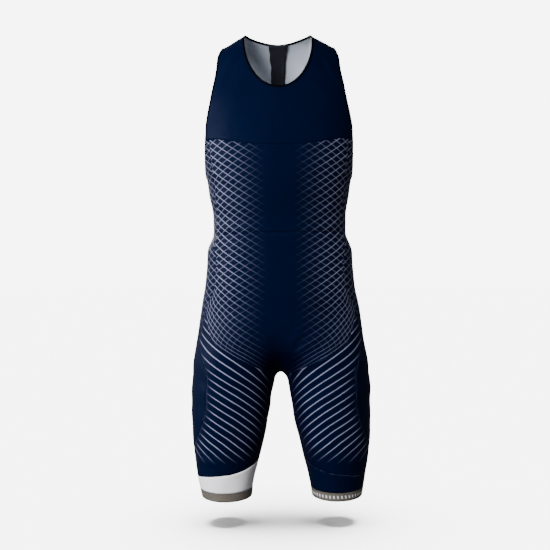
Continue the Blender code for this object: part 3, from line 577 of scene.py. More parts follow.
class Material:
    """A material in the making: its node tree and its Principled shader."""

    def __init__(self, name: str, roughness: float, **constants: Any) -> None:
        """Starts the material.

        Args:
            name: the material's name.
            roughness: the shader's roughness.
            constants: the shader's other inputs, by name with _ for a space.
        """
        self.made = bpy.data.materials.new(name)
        self.made.use_nodes = True
        self.tree = self.made.node_tree
        self.node = partial(add_node, self.tree)
        self.shader = self.tree.nodes["Principled BSDF"].inputs
        for key, value in {"Roughness": roughness, **constants}.items():
            self.shader[key.replace("_", " ")].default_value = value

    def cut(self) -> tuple[Any, Any]:
        """Across and up on the cut piece, in metres."""
        place = self.node("ShaderNodeUVMap", uv_map="cut")
        split = self.node("ShaderNodeSeparateXYZ", [place]).node.outputs
        return split[0], split[1]

    def mottle(self, scale: float, detail: float = 2.0) -> Any:
        """A value that drifts at random over the piece."""
        place = self.node("ShaderNodeTexCoord", output="Object")
        inputs = {"Vector": place, "Scale": scale, "Detail": detail}
        return self.node("ShaderNodeTexNoise", inputs, "Fac")

    def ribs(self, place: Any, pitch: float) -> Any:
        """Even ribs this many metres apart, from -1 to 1."""
        turn = self.node(MATH + "MULTIPLY", [place, 2 * math.pi / pitch])
        return self.node(MATH + "SINE", [turn])

    def layered(self, base: str, layers: Sequence[tuple[Any, str]]) -> Any:
        """A colour with others laid over it, each as strongly as its mask says."""
        color: Any = linear(base)
        for mask, over in layers:
            inputs = {0: mask, FIRST: color, SECOND: linear(over)}
            color = self.node("ShaderNodeMix", inputs, MIXED, data_type="RGBA")
        return color

    def finish(
        self, color: Any, height: Any, relief: tuple[float, float], shade: Any = None
    ) -> Any:
        """Gives the shader its colour and its relief.

        Args:
            color: the colour's socket, or with a shade its hex value.
            height: the relief's socket.
            relief: how far a height of 1 stands out in metres, and how strongly that shows.
            shade: a value that makes the colour darker or lighter, or None.

        Returns:
            The material.
        """
        if shade is not None:
            inputs = {0: linear(color)[:3], "Scale": shade}
            color = self.node("ShaderNodeVectorMath:SCALE", inputs)
        inputs = {"Distance": relief[0], "Strength": relief[1], "Height": height}
        normal = self.node("ShaderNodeBump", inputs, "Normal")
        self.tree.links.new(color, self.shader["Base Color"])
        self.tree.links.new(normal, self.shader["Normal"])
        return self.made


@dataclass(frozen=True)
class Knit:
    """Warp-knitted polyester and elastane: matt, ribbed, with a nap that lights its edges.

    The printed knit carries pale lines in two slanting families, dyed into the face yarn.
    """

    name: str
    color: str
    # The colour that the painted shade between the legs and on the inner thighs, and the random
    # mottle, mix towards
    shade_and_mottle: str
    line: str = ""
    roughness: float = 0.56
    gloss: float = 0.12
    glint: str = "#9FB4F0"
    # Washed-out patches are about 0.1 m apart, and the dye drifts by this, from this low on
    patches: float = 9.0
    drift: tuple[float, float] = (0.3, -0.15)
    # Ribs are 0.6 mm apart on the cloth, and drawn 1.1 mm apart so that a near view shows them
    rib: float = 0.0011
    relief: tuple[float, float] = (0.00008, 0.6)
    # The lines are 1.8 mm wide and 12.5 mm apart, and rise or fall 0.62 for each metre across
    line_width: float = 0.0018
    line_pitch: float = 0.0125
    line_slope: float = 0.62

    def build(self) -> Any:
        """The finished material."""
        tint = linear(self.glint)
        made = Material(
            self.name, self.roughness, Specular_IOR_Level=self.gloss, Specular_Tint=tint
        )
        node, (across, up) = made.node, made.cut()
        # Painted shade from the tone attribute, between the legs and on the inner thighs, plus the
        # random mottle, mixes the colour towards the darker one
        tone = node("ShaderNodeAttribute", output="Fac", attribute_name="tone")
        worn = node(MATH + "MULTIPLY_ADD", [made.mottle(self.patches, 3.0), *self.drift])
        layers = [(node(MATH + "ADD", [tone, worn]), self.shade_and_mottle)]
        if self.line:
            for slope, family in ((self.line_slope, "rise"), (-self.line_slope, "fall")):
                layers.append((self.line_mask(node, across, up, slope, family), self.line))
        # The loops stand in courses 1.4 times as far apart as the ribs, and less deep
        loops = node(MATH + "MULTIPLY", [made.ribs(up, self.rib * 1.4), 0.3])
        crossed = node(MATH + "MULTIPLY_ADD", [made.ribs(across, self.rib), 0.7, loops])
        return made.finish(made.layered(self.color, layers), crossed, self.relief)

    def line_mask(self, node: Any, across: Any, up: Any, slope: float, family: str) -> Any:
        """How strongly one family of slanting lines shows at a point."""
        upright = self.line_pitch * math.hypot(1.0, slope)
        place = node(MATH + "MULTIPLY_ADD", [across, slope, up])
        nearest = node(MATH + "PINGPONG", [node(MATH + "DIVIDE", [place, upright]), 0.5])
        half = self.line_width / 2 / self.line_pitch
        limits = {0: nearest, IN_LOW: half * 0.6, IN_HIGH: half * 1.4, **TURNED}
        shown = node(RANGE, limits, interpolation_type="SMOOTHSTEP")
        strength = node("ShaderNodeAttribute", output="Fac", attribute_name=family)
        return node(MATH + "MULTIPLY", [shown, strength])


@dataclass(frozen=True)
class Woven:
    """Narrow woven or knitted trim, ribbed across its length: binding, tape and guard."""

    name: str
    color: str
    roughness: float = 0.6
    rib: float = 0.0012
    gloss: float = 0.12
    # Lint and wear are about 25 mm apart, and make the colour this much darker or lighter
    patches: float = 40.0
    shades: tuple[float, float] = (0.82, 1.12)
    relief: tuple[float, float] = (0.0001, 0.8)

    def build(self) -> Any:
        """The finished material."""
        made = Material(self.name, self.roughness, Specular_IOR_Level=self.gloss)
        low, high = self.shades
        limits = {IN_LOW: 0.2, IN_HIGH: 0.8, OUT_LOW: low, OUT_HIGH: high}
        shade = made.node(RANGE, {0: made.mottle(self.patches), **limits})
        _, along = made.cut()
        return made.finish(self.color, made.ribs(along, self.rib), self.relief, shade)


@dataclass(frozen=True)
class Gripper:
    """Elastic band lined with silicone: fine ribs, a soft gloss, random grime and painted shade
    that darkens its top and bottom edges.

    The printed kind carries a row of plain pale dashes.
    """

    name: str
    color: str
    dash: str = ""
    # The darker colour that the random grime and the painted edge shade mix towards
    worn: str = "#2A2722"
    roughness: float = 0.48
    gloss: float = 0.3
    # Grime is about 4 mm apart, and shows by this share; painted shade darkens the top and bottom
    # edges by the other
    patches: float = 260.0
    grime: float = 0.5
    edge_shade: float = 0.8
    rib: float = 0.0011
    relief: tuple[float, float] = (0.00012, 0.8)
    # The dashes are 3 mm wide, 6 mm tall and 8 mm apart. Half of their width and height,
    # as shares of the way to the next one and of the band, inside and outside their soft edge
    dash_pitch: float = 0.008
    dash_half: tuple[float, float] = (0.16, 0.22)
    dash_half_height: tuple[float, float] = (0.14, 0.19)

    def build(self) -> Any:
        """The finished material."""
        made = Material(self.name, self.roughness, Specular_IOR_Level=self.gloss)
        node, (across, _) = made.node, made.cut()
        down = node("ShaderNodeAttribute", output="Fac", attribute_name="tone")
        # Painted shade that darkens the band towards its top and bottom edges, added to the random
        # grime below
        from_middle = node(MATH + "MULTIPLY_ADD", [down, 2.0, -1.0])
        edges = node(MATH + "POWER", [node(MATH + "ABSOLUTE", [from_middle]), 6.0])
        edges = node(MATH + "MULTIPLY", [edges, self.edge_shade])
        worn = node(MATH + "MULTIPLY_ADD", [made.mottle(self.patches), self.grime, edges])
        layers = [(worn, self.worn)]
        if self.dash:
            turns = node(MATH + "DIVIDE", [across, self.dash_pitch])
            beside = node(MATH + "PINGPONG", [turns, 0.5])
            high = node(MATH + "ABSOLUTE", [node(MATH + "ADD", [down, -0.5])])
            inside = []
            for value, (low, top) in ((beside, self.dash_half), (high, self.dash_half_height)):
                limits = {0: value, IN_LOW: low, IN_HIGH: top, **TURNED}
                inside.append(node(RANGE, limits, interpolation_type="SMOOTHSTEP"))
            layers.append((node(MATH + "MULTIPLY", inside), self.dash))
        color = made.layered(self.color, layers)
        return made.finish(color, made.ribs(across, self.rib), self.relief)


@dataclass(frozen=True)
class Moulded:
    """Injection-moulded acetal or rubber: satin, with a faint skin texture."""

    name: str
    color: str
    roughness: float = 0.42
    ior: float = 1.48
    # The skin's grain is about 0.6 mm apart, and makes the colour this much darker or lighter
    grain: float = 1800.0
    shades: tuple[float, float] = (0.85, 1.15)
    relief: tuple[float, float] = (0.00003, 0.5)

    def build(self) -> Any:
        """The finished material."""
        made = Material(self.name, self.roughness, IOR=self.ior)
        grain, (low, high) = made.mottle(self.grain), self.shades
        shade = made.node(RANGE, {0: grain, OUT_LOW: low, OUT_HIGH: high})
        return made.finish(self.color, grain, self.relief, shade)


@dataclass(frozen=True)
class Metal:
    """Die-cast zinc alloy with a dark lacquer, rubbed a little brighter in places."""

    name: str
    color: str
    worn: str
    roughness: float = 0.34
    # The rubbed places are about 2.4 mm apart
    patches: float = 420.0
    relief: tuple[float, float] = (0.00002, 0.4)

    def build(self) -> Any:
        """The finished material."""
        made = Material(self.name, self.roughness, Metallic=1.0)
        rub = made.mottle(self.patches, 4.0)
        share = made.node(MATH + "POWER", [rub, 2.0])
        return made.finish(made.layered(self.color, [(share, self.worn)]), rub, self.relief)


@dataclass(frozen=True)
class Thread:
    """Texturised polyester sewing thread: soft, twisted, a little lighter than its cloth."""

    name: str
    color: str
    roughness: float = 0.6
    gloss: float = 0.2
    # The twist is 0.5 mm from turn to turn; a random mottle at that scale paints shade for its
    # hollows, this much darker at most
    twist: float = 0.0005
    twist_shade: float = 0.35
    relief: tuple[float, float] = (0.00004, 0.6)

    def build(self) -> Any:
        """The finished material."""
        made = Material(self.name, self.roughness, Specular_IOR_Level=self.gloss)
        fuzz = made.mottle(0.5 / self.twist)
        shade = made.node(RANGE, {0: fuzz, OUT_LOW: 1.0 - self.twist_shade, OUT_HIGH: 1.0})
        return made.finish(self.color, fuzz, self.relief, shade)


class Finish(Enum):
    """The suit's finishes, by what each is made of."""

    PLAIN = Knit("plain_navy_jersey", "#010820", "#01021A")
    PRINTED = Knit("printed_navy_jersey", "#010820", "#01021A", "#80829C")
    WHITE = Knit("white_jersey", "#F3F3F8", "#E2E4EC")
    INSIDE = Knit("undyed_jersey_inside", "#A9AFBA", "#9096A2", roughness=0.7)
    BINDING = Woven("black_folded_binding", "#020308", 0.7, gloss=0.05)
    TAPE = Woven("black_woven_zip_tape", "#14151A", 0.65, rib=0.0009)
    GUARD = Woven("black_lining_knit", "#212229", 0.7, rib=0.0010)
    GRIPPER = Gripper("grey_silicone_gripper", "#6B665E")
    DASHED = Gripper("dashed_silicone_gripper", "#69655E", "#D9D9DC")
    TEETH = Moulded("black_acetal_teeth", "#16161A", 0.35)
    RUBBER = Moulded("black_rubber_tab", "#1A1A1F", 0.5)
    METAL = Metal("dark_lacquered_zinc", "#45454B", "#8E8E94")
    NAVY_THREAD = Thread("navy_sewing_thread", "#111B3A")
    # The leg seams' thread is coloured pale as a painted highlight along those seams
    HIGHLIGHT_THREAD = Thread("pale_highlight_thread", "#6A7596")
    WHITE_THREAD = Thread("white_sewing_thread", "#F2F2F6")
    GREY_THREAD = Thread("grey_sewing_thread", "#2E2C29")
    BLACK_THREAD = Thread("black_sewing_thread", "#101015")


MATERIALS: dict[Finish, Any] = {}
# Moulded and cast pieces stay crisp where two faces turn by more than this
SHARP_ANGLE = math.radians(38)


def finished(finish: Finish) -> Any:
    """The finish's material, made once."""
    if finish not in MATERIALS:
        MATERIALS[finish] = finish.value.build()
    return MATERIALS[finish]


# ---- meshes

def add_object(name: str, data: Any) -> Any:
    """A new object in the scene."""
    made = bpy.data.objects.new(name, data)
    bpy.context.scene.collection.objects.link(made)
    return made


def link_piece(
    name: str, mesh: Any, finishes: Sequence[Finish], slot: str, node: str = "", body: str = SUIT,
    sharp: bool = False,
) -> Any:
    """Adds a finished mesh to the scene, smooth and on its body.

    Args:
        name: the piece's name.
        mesh: its mesh, in place.
        finishes: its finishes, in the order of its faces' material numbers.
        slot: the record's material slot; not used.
        node: the CAD node that it replaces, if any.
        body: the body that carries it.
        sharp: whether its steep edges stay crisp, as on moulded and cast pieces.

    Returns:
        The object.
    """
    made = add_object(name, mesh)
    for finish in finishes:
        mesh.materials.append(finished(finish))
    mesh.shade_smooth()
    if sharp:
        mesh.set_sharp_from_angle(angle=SHARP_ANGLE)
    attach(made, body)
    if node:
        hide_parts(node)
    LOG.info("%s: %d faces", name, len(mesh.polygons))
    return made


def corner_attribute(mesh: Any, name: str, values: Array) -> None:
    """Stores one number for each corner of each face."""
    made = mesh.attributes.new(name, "FLOAT", "CORNER")
    made.data.foreach_set("value", values.astype(np.float32))


def corner_uv(mesh: Any, values: Array) -> None:
    """Stores the cut's own coordinates, in metres, as the UV map of the cloth."""
    layer = mesh.uv_layers.new(name="cut")
    layer.data.foreach_set("uv", values.astype(np.float32).ravel())


# A zone of the grid, its face and side, and the rows and columns of it that a panel takes
Stretch = tuple[str, int, int, tuple[int, int], tuple[int, int]]
INNER, BESIDE, WHOLE = (0, FRONT_COLUMNS), (FRONT_COLUMNS, COLUMNS), (0, COLUMNS)
CLOTH_THICKNESS, GRIPPER_THICKNESS = 0.0014, 0.0018


@dataclass
class Panel:
    """One cut panel: the stretches of the grid it takes, and what it is cut from."""

    name: str
    stretches: list[Stretch]
    flat: tuple[float, float]
    area: float
    finish: Finish = Finish.PRINTED
    slot: str = "knit_printed"
    thickness: float = CLOTH_THICKNESS


def stretch(
    zone: str, face: int, side: int, columns: tuple[int, int] = INNER, last_row: int = 0
) -> Stretch:
    """A zone's stretch from its first row to its last, or to the row that is given."""
    return zone, face, side, (0, last_row or ROWS[zone]), columns


def panel_list() -> list[Panel]:
    """Every panel of the suit, with the size it is cut to."""
    chest = [stretch("bib", FRONT, side, WHOLE) for side in SIDE_NAMES]
    midriff, lower, seat = (
        [stretch(zone, face, side) for side in SIDE_NAMES]
        for zone, face in (("midriff", FRONT), ("lower", FRONT), ("lower", BACK))
    )
    panels = [
        Panel("chest_panel", chest, (0.319, 0.263), 0.0530, Finish.PLAIN, "knit"),
        Panel("midriff_panel", midriff, (0.287, 0.189), 0.0500),
        Panel("lower_front_panel", lower, (0.319, 0.334), 0.0742),
        Panel("seat_panel", seat, (0.333, 0.357), 0.0771),
    ]
    for side, name in SIDE_NAMES.items():
        back = [stretch("bib", BACK, side, WHOLE), stretch("midriff", BACK, side)]
        beside = [
            stretch(zone, face, side, BESIDE, last)
            for zone, last in (("midriff", 0), ("lower", 0), ("leg", INSET_TIP_ROW))
            for face in FACES
        ]
        front_leg, back_leg = ([stretch("leg", face, side)] for face in FACES)
        band, gripper = (
            [stretch(zone, face, side) for face in FACES] for zone in ("band", "gripper")
        )
        colour = (Finish.WHITE, "knit_white") if side == RIGHT else (Finish.PLAIN, "knit")
        hem = Finish.GRIPPER if side == RIGHT else Finish.DASHED
        panels += [
            Panel(f"back_panel_{name}", back, (0.153, 0.455), 0.0572),
            Panel(f"side_panel_{name}", beside, (0.175, 0.706), 0.0683),
            Panel(f"leg_front_{name}", front_leg, (0.214, 0.401), 0.0443),
            Panel(f"leg_back_{name}", back_leg, (0.227, 0.409), 0.0469),
            Panel(f"leg_band_{name}", band, (0.405, 0.061), 0.0148, *colour),
            Panel(
                f"leg_gripper_{name}", gripper, (0.351, 0.018), 0.0061, hem, "gripper",
                GRIPPER_THICKNESS,
            ),
        ]
    return panels


# How strongly the rising and the falling lines show on each kind of panel, and on the back of it
PRINT = {
    "midriff": (0.45, 0.75), "back_panel": (0.45, 0.75), "lower_front": (0.35, 0.85),
    "seat": (0.35, 0.85), "side_panel": (0.25, 0.55), "leg_front": (0.0, 0.85),
    "leg_back": (0.0, 0.85),
}
BACK_PRINT = 0.75
# Painted shade between the legs: the middle of its round top, the heights where it is full and
# where it is gone, its radii likewise, and how far the round top is pressed flat
PATCH_Z, PATCH_FULL_Z, PATCH_GONE_Z = -0.69, -0.650, -0.640
PATCH_FULL, PATCH_GONE, PATCH_SQUASH = 0.044, 0.052, 0.8


@dataclass
class Cloth:
    """The whole cloth as one fine grid, cut into panels with a wall, an inside and closed rims."""

    form: SuitForm
    # Fine steps to one row or column of the form
    cell: int = 6
    # Points in one cube of this size are one, and the shift keeps the centre plane inside a cube
    weld: float = 2e-5
    weld_shift: float = 3e-6
    # How far the cloth sinks where two panels are sewn together
    valley: float = 0.00025

    def __post_init__(self) -> None:
        """Lays the grid on the form, lifts it into folds and finds its normals."""
        self.panels = panel_list()
        self.grids: dict[tuple[str, int, int], Array] = {}
        raw: dict[tuple[str, int, int], Array] = {}
        for quarter in itertools.product(ROWS, FACES, SIDES):
            raw[quarter] = self.form.grid(*quarter, self.cell)
        stacked = np.concatenate([points.reshape(-1, 3) for points in raw.values()])
        keys = np.floor((stacked + self.weld_shift) / self.weld).astype(np.int64)
        _, first, inverse = np.unique(keys, axis=0, return_index=True, return_inverse=True)
        inverse = inverse.ravel()
        self.points = stacked[first]
        start = 0
        for key, points in raw.items():
            count = points.shape[0] * points.shape[1]
            self.grids[key] = inverse[start : start + count].reshape(points.shape[:2])
            start += count
        self.quads = {panel.name: self.panel_quads(panel) for panel in self.panels}
        everything = np.concatenate([quads for quads, _ in self.quads.values()])
        self.normals = self.vertex_normals(everything)
        lift = Folds(self.form).height(self.points) - self.seam_valley()
        self.points = self.points + self.normals * lift[:, None]
        self.normals = self.vertex_normals(everything)
        self.tree = BVHTree.FromPolygons(self.points.tolist(), everything.tolist())

    def seam_valley(self) -> Array:
        """How far each point sinks where two panels are sewn together."""
        count = np.zeros(len(self.points))
        for quads, _ in self.quads.values():
            count[np.unique(quads)] += 1
        return np.where(count > 1, self.valley, 0.0)

    def panel_quads(self, panel: Panel) -> tuple[Array, Array]:
        """The panel's cells, with what each corner carries.

        Args:
            panel: the panel.

        Returns:
            The corners' point numbers, and for each corner across, up, rise, fall and tone.
        """
        quads, values = [], []
        for zone, face, side, rows, columns in panel.stretches:
            grid = self.grids[zone, face, side]
            r0, r1 = rows[0] * self.cell, rows[1] * self.cell
            c0, c1 = columns[0] * self.cell, columns[1] * self.cell
            ids = grid[r0 : r1 + 1, c0 : c1 + 1]
            data = self.patch_values(panel, zone, face, side, ids, (r0, c0))
            corners = [(0, 0), (0, 1), (1, 1), (1, 0)]
            if (face * side > 0) == (zone == "bib"):
                corners.reverse()
            high, wide = ids.shape[0] - 1, ids.shape[1] - 1
            cells = [(slice(r, r + high), slice(c, c + wide)) for r, c in corners]
            quads.append(np.stack([ids[cell] for cell in cells], axis=-1).reshape(-1, 4))
            values.append(np.stack([data[cell] for cell in cells], axis=-2).reshape(-1, 4, 5))
        return np.concatenate(quads), np.concatenate(values)

    def patch_values(
        self, panel: Panel, zone: str, face: int, side: int, ids: Array, start: tuple[int, int]
    ) -> Array:
        """What each point of one stretch carries.

        Across runs from the centre, or on a side panel from the side line. Rise and fall say how
        strongly each family of printed lines shows, and tone how much painted shade darkens the
        cloth between the legs and on the inner thighs; on a gripper tone is its way down the band.

        Args:
            panel: the panel.
            zone: one of ROWS.
            face: FRONT or BACK.
            side: LEFT or RIGHT.
            ids: the stretch's point numbers.
            start: its first fine row and fine column.

        Returns:
            Across, up, rise, fall and tone.
        """
        x, y, z = np.moveaxis(self.points[ids], -1, 0)
        steps = np.linalg.norm(np.diff(self.points[ids][..., :2], axis=1), axis=2)
        across = np.concatenate([np.zeros((len(z), 1)), np.cumsum(steps, axis=1)], axis=1)
        if panel.name.startswith("side_panel"):
            across = face * np.hypot(y, self.form.outer(z) - np.abs(x))
        column = (start[1] + np.arange(ids.shape[1]))[None, :] / self.cell + 0 * z
        share = column / FRONT_COLUMNS
        weight = 1.0 if face == FRONT else BACK_PRINT
        rise, fall = self.print_strength(panel.name, z, share, column)
        # Painted shade: a patch with a round top between the legs, where the crotch's front turns
        # under
        from_patch = np.hypot(x, PATCH_SQUASH * np.maximum(0.0, z - PATCH_Z))
        tone = smoothstep(PATCH_GONE, PATCH_FULL, from_patch)
        tone = tone * smoothstep(PATCH_GONE_Z, PATCH_FULL_Z, z)
        # Painted shade on each leg's inner side, darkest towards the inseam
        if zone == "leg":
            tone = smoothstep(0.45, 0.05, share)
        # On a gripper, tone is the way down the band, which places its painted edge shade and its
        # dashes
        if zone == "gripper":
            tone = (start[0] + np.arange(len(ids)))[:, None] / self.cell + 0 * z
        return np.stack([across, z, rise * weight, fall * weight, tone], axis=-1)

    @staticmethod
    def print_strength(
        name: str, z: Array, share: Array, column: Array
    ) -> tuple[Array, Array]:
        """How strongly the rising and the falling lines show on a panel.

        Args:
            name: the panel's name.
            z: its points' heights.
            share: how far across to the side panel's seam they are.
            column: the column that they are on.

        Returns:
            Rise and fall.
        """
        kind = next((kind for kind in PRINT if name.startswith(kind)), "")
        if not kind:
            return np.zeros_like(z), np.zeros_like(z)
        rise = fall = smoothstep(0.04, 0.98, share)
        if kind == "back_panel":
            low_z = SuitForm.under_chest_z(column)
            rise = fall = fall * smoothstep(low_z + 0.003, low_z - 0.002, z)
        if kind in ("lower_front", "seat"):
            rise = rise * smoothstep(-0.66, -0.60, z)
        if kind == "side_panel":
            rise = fall = smoothstep(-0.62, -0.50, z)
        if kind in ("leg_front", "leg_back"):
            beside = smoothstep(0.12, 0.42, share) * smoothstep(1.02, 0.86, share)
            rise = fall = beside * smoothstep(-0.875, -0.835, z)
        return rise * PRINT[kind][0], fall * PRINT[kind][1]

    def vertex_normals(self, quads: Array) -> Array:
        """One outward direction for each point, shared by the panels on both sides of a seam."""
        corners = self.points[quads]
        faces = np.cross(corners[:, 2] - corners[:, 0], corners[:, 3] - corners[:, 1])
        total = np.zeros_like(self.points)
        for i in range(4):
            np.add.at(total, quads[:, i], faces)
        length = np.linalg.norm(total, axis=1, keepdims=True)
        return total / np.maximum(length, 1e-12)

    def build(self) -> dict[str, Any]:
        """Makes every panel, by its name."""
        return {panel.name: self.build_panel(panel) for panel in self.panels}

    def declare(self, made: dict[str, Any], trims: dict[str, list[Any]]) -> None:
        """Goes over each panel's trims, which it turns into a list and leaves unused.

        Args:
            made: the panels' objects; not used.
            trims: the bindings and tapes sewn to a panel, by the panel's name.
        """
        for panel in self.panels:
            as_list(trims.get(panel.name, []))

    def line(
        self, zone: str, face: int, side: int, row: int | None = None, column: int | None = None,
        span: tuple[int, int] | None = None,
    ) -> Array:
        """The point numbers along one row or one column of a zone.

        Args:
            zone: one of ROWS.
            face: FRONT or BACK.
            side: LEFT or RIGHT.
            row: the row, or None for a column.
            column: the column, or None for a row.
            span: the columns or rows it runs between, or None for all of them.

        Returns:
            The point numbers.
        """
        grid = self.grids[zone, face, side]
        line = grid[:, column * self.cell] if row is None else grid[row * self.cell]
        if span:
            line = line[span[0] * self.cell : span[1] * self.cell + 1]
        return line

    def build_panel(self, panel: Panel) -> Any:
        """One panel: its outer face, its inner face and its rims."""
        quads, values = self.quads[panel.name]
        used, local = np.unique(quads, return_inverse=True)
        local = local.reshape(quads.shape)
        count = len(used)
        half = self.normals[used] * (panel.thickness / 2)
        middle = self.points[used]
        vertices = np.concatenate([middle + half, middle - half])
        faces: list[list[int]] = []
        data: list[Array] = []
        numbers: list[int] = []
        edges: dict[tuple[int, int], list[tuple[int, int, Array, Array]]] = {}
        for corners, info in zip(local.tolist(), values):
            keep = [i for i in range(4) if corners[i] != corners[i - 1]]
            if len(keep) < 3:
                continue
            outer = [corners[i] for i in keep]
            faces += [outer, [corner + count for corner in reversed(outer)]]
            data += [info[keep], info[keep][::-1]]
            numbers += [0, 1]
            for a, b in zip(keep, keep[1:] + keep[:1]):
                one, two = corners[a], corners[b]
                key = (min(one, two), max(one, two))
                edges.setdefault(key, []).append((one, two, info[a], info[b]))
        for found in edges.values():
            if len(found) == 1:
                one, two, at_one, at_two = found[0]
                faces.append([two, one, one + count, two + count])
                data.append(np.array([at_two, at_one, at_one, at_two]))
                numbers.append(0)
        mesh = bpy.data.meshes.new(panel.name + "_cloth")
        mesh.from_pydata(vertices.tolist(), [], faces)
        mesh.polygons.foreach_set("material_index", numbers)
        flat = np.concatenate(data)
        corner_uv(mesh, flat[:, :2])
        for i, name in enumerate(("rise", "fall", "tone")):
            corner_attribute(mesh, name, flat[:, 2 + i])
        inside = Finish.GRIPPER if panel.slot == "gripper" else Finish.INSIDE
        return link_piece(mesh.name, mesh, (panel.finish, inside), panel.slot, panel.name)


# ---- bindings

@dataclass
class Bindings:
    """Black elastic folded over the neck and armhole edges and sewn through."""

    cloth: Cloth
    # (distance in from the edge, height over the cloth's middle) over the outer half of the fold
    profile: tuple[tuple[float, float], ...] = (
        (-0.0007, 0.0), (-0.0004, 0.0009), (0.0005, 0.00135), (0.0022, 0.0015), (0.0039, 0.0014),
        (0.0047, 0.0008),
    )
    # From one point of the section to the next, and over the step that closes a ring, as cut
    section_step: float = 0.001
    last_step: float = 0.004
    # Where its stitches run: how far in from the edge and over the cloth's middle
    stitches: tuple[float, float] = (0.0036, 0.0015)
    # A probe this far in from the edge has to find cloth within the second distance
    probe: tuple[float, float] = (0.006, 0.003)

    def build(self) -> dict[str, Any]:
        """Makes the three bindings, by the CAD node that each replaces."""
        return {name: self.add(name, *edge) for name, edge in self.edges().items()}

    def edges(self) -> dict[str, tuple[Array, bool]]:
        """Each bound edge's point numbers, and whether it is closed, by its binding's node."""
        edges = {"neck_binding": (self.neck(), False)}
        for side, name in SIDE_NAMES.items():
            edges[f"armhole_binding_{name}"] = (self.armhole(side), True)
        return edges

    def neck(self) -> Array:
        """Point numbers from the zip's right side round the front to its left side."""
        top, span = ROWS["bib"], (0, NECK_COLUMNS)
        lines = {
            (face, side): self.cloth.line("bib", face, side, row=top, span=span)
            for face in FACES for side in SIDES
        }
        return np.concatenate([
            lines[BACK, RIGHT], lines[FRONT, RIGHT][-2::-1],
            lines[FRONT, LEFT][1:], lines[BACK, LEFT][-2::-1],
        ])

    def armhole(self, side: int) -> Array:
        """Point numbers down the front of an armhole and up its back."""
        halves = []
        for face in FACES:
            bib = self.cloth.line("bib", face, side, column=COLUMNS)[::-1]
            below = self.cloth.line("midriff", face, side, column=COLUMNS, span=(0, ARMPIT_ROW))
            halves.append(np.concatenate([bib, below[1:]]))
        return np.concatenate([halves[0], halves[1][-2:0:-1]])

    def frames(self, chain: Array, closed: bool) -> tuple[Array, Array, Array, Array]:
        """Where a bound edge runs.

        Args:
            chain: its point numbers.
            closed: whether its last point joins its first.

        Returns:
            Its points, the ways into the cloth, its normals and the distance along it.
        """
        points, normals = self.cloth.points[chain], self.cloth.normals[chain]
        if closed:
            along = np.roll(points, -1, axis=0) - np.roll(points, 1, axis=0)
        else:
            along = np.gradient(points, axis=0)
        inward = unit(np.cross(along, normals))
        i = len(points) // 4
        found = self.cloth.tree.find_nearest(Vector(points[i] + inward[i] * self.probe[0]))
        if found[3] > self.probe[1]:
            inward = -inward
        return points, inward, normals, distances(points)

    def section(self, point: Array, inward: Array, normal: Array) -> list[Array]:
        """The fold's section at one point of the edge."""
        outer, inner = [], []
        for across, up in self.profile:
            place, way = point + inward * across, normal
            if across > 0:
                found, facing, _, _ = self.cloth.tree.find_nearest(Vector(place))
                facing = np.array(facing) * (1.0 if np.dot(facing, normal) > 0 else -1.0)
                place, way = np.array(found), unit(normal + facing)
            outer.append(place + way * up)
            inner.append(place - way * up)
        return outer + inner[:0:-1]

    def stitch_lines(self) -> list[tuple[Array, Array]]:
        """The row of stitches through each fold."""
        (inset_by, lift), rows = self.stitches, []
        for chain, closed in self.edges().values():
            points, inward, normals, _ = self.frames(chain, closed)
            rows.append((points + inward * inset_by + normals * lift, normals))
        return rows

    def add(self, name: str, chain: Array, closed: bool) -> Any:
        """Sweeps the fold along an edge."""
        points, inward, normals, along = self.frames(chain, closed)
        rings = [self.section(*frame) for frame in zip(points, inward, normals)]
        count, length, step = len(rings[0]), len(rings), self.section_step
        ends = np.append(along, along[-1] + self.last_step)
        places = [
            (across * step, ends[way])
            for i in range(length if closed else length - 1) for k in range(count)
            for across, way in ((k, i), (k + 1, i), (k + 1, i + 1), (k, i + 1))
        ]
        places += [] if closed else [(0.0, 0.0)] * count * 2
        mesh = bpy.data.meshes.new(name + "_fold")
        faces = ring_faces(length, count, closed)
        mesh.from_pydata(np.concatenate(rings).tolist(), [], faces)
        corner_uv(mesh, np.array(places))
        outward(mesh)
        return link_piece(mesh.name, mesh, (Finish.BINDING,), "binding", name)


def ring_faces(rings: int, count: int, closed: bool) -> list[tuple[int, ...]]:
    """The faces over rings of points one after the other, with a cap on each open end."""
    faces: list[tuple[int, ...]] = []
    for i in range(rings if closed else rings - 1):
        here, there = i * count, (i + 1) % rings * count
        for k in range(count):
            after = (k + 1) % count
            faces.append((here + k, here + after, there + after, there + k))
    if not closed:
        faces += [tuple(range(start, start + count)) for start in (0, (rings - 1) * count)]
    return faces


def solid_mesh(
    name: str, parts: Sequence[tuple[Sequence[Array], bool]], place: Matrix | None = None
) -> Any:
    """Closed skins over rings of points, as one mesh with its faces outwards.

    Args:
        name: the mesh's name.
        parts: each skin's rings, and whether its last ring joins its first.
        place: where its own axes lie in the suit, or None where the points are in place already.

    Returns:
        The mesh.
    """
    points: list[Array] = []
    faces: list[tuple[int, ...]] = []
    start = 0
    for rings, closed in parts:
        count = len(rings[0])
        faces += [tuple(start + i for i in face) for face in ring_faces(len(rings), count, closed)]
        points += list(rings)
        start += count * len(rings)
    mesh = bpy.data.meshes.new(name)
    mesh.from_pydata(np.concatenate(points).tolist(), [], faces)
    if place is not None:
        mesh.transform(place)
    outward(mesh)
    return mesh


def outward(mesh: Any) -> None:
    """Turns a closed mesh's faces outwards."""
    work = bmesh.new()
    work.from_mesh(mesh)
    bmesh.ops.recalc_face_normals(work, faces=work.faces)
    work.to_mesh(mesh)
    work.free()


# ---- sewing

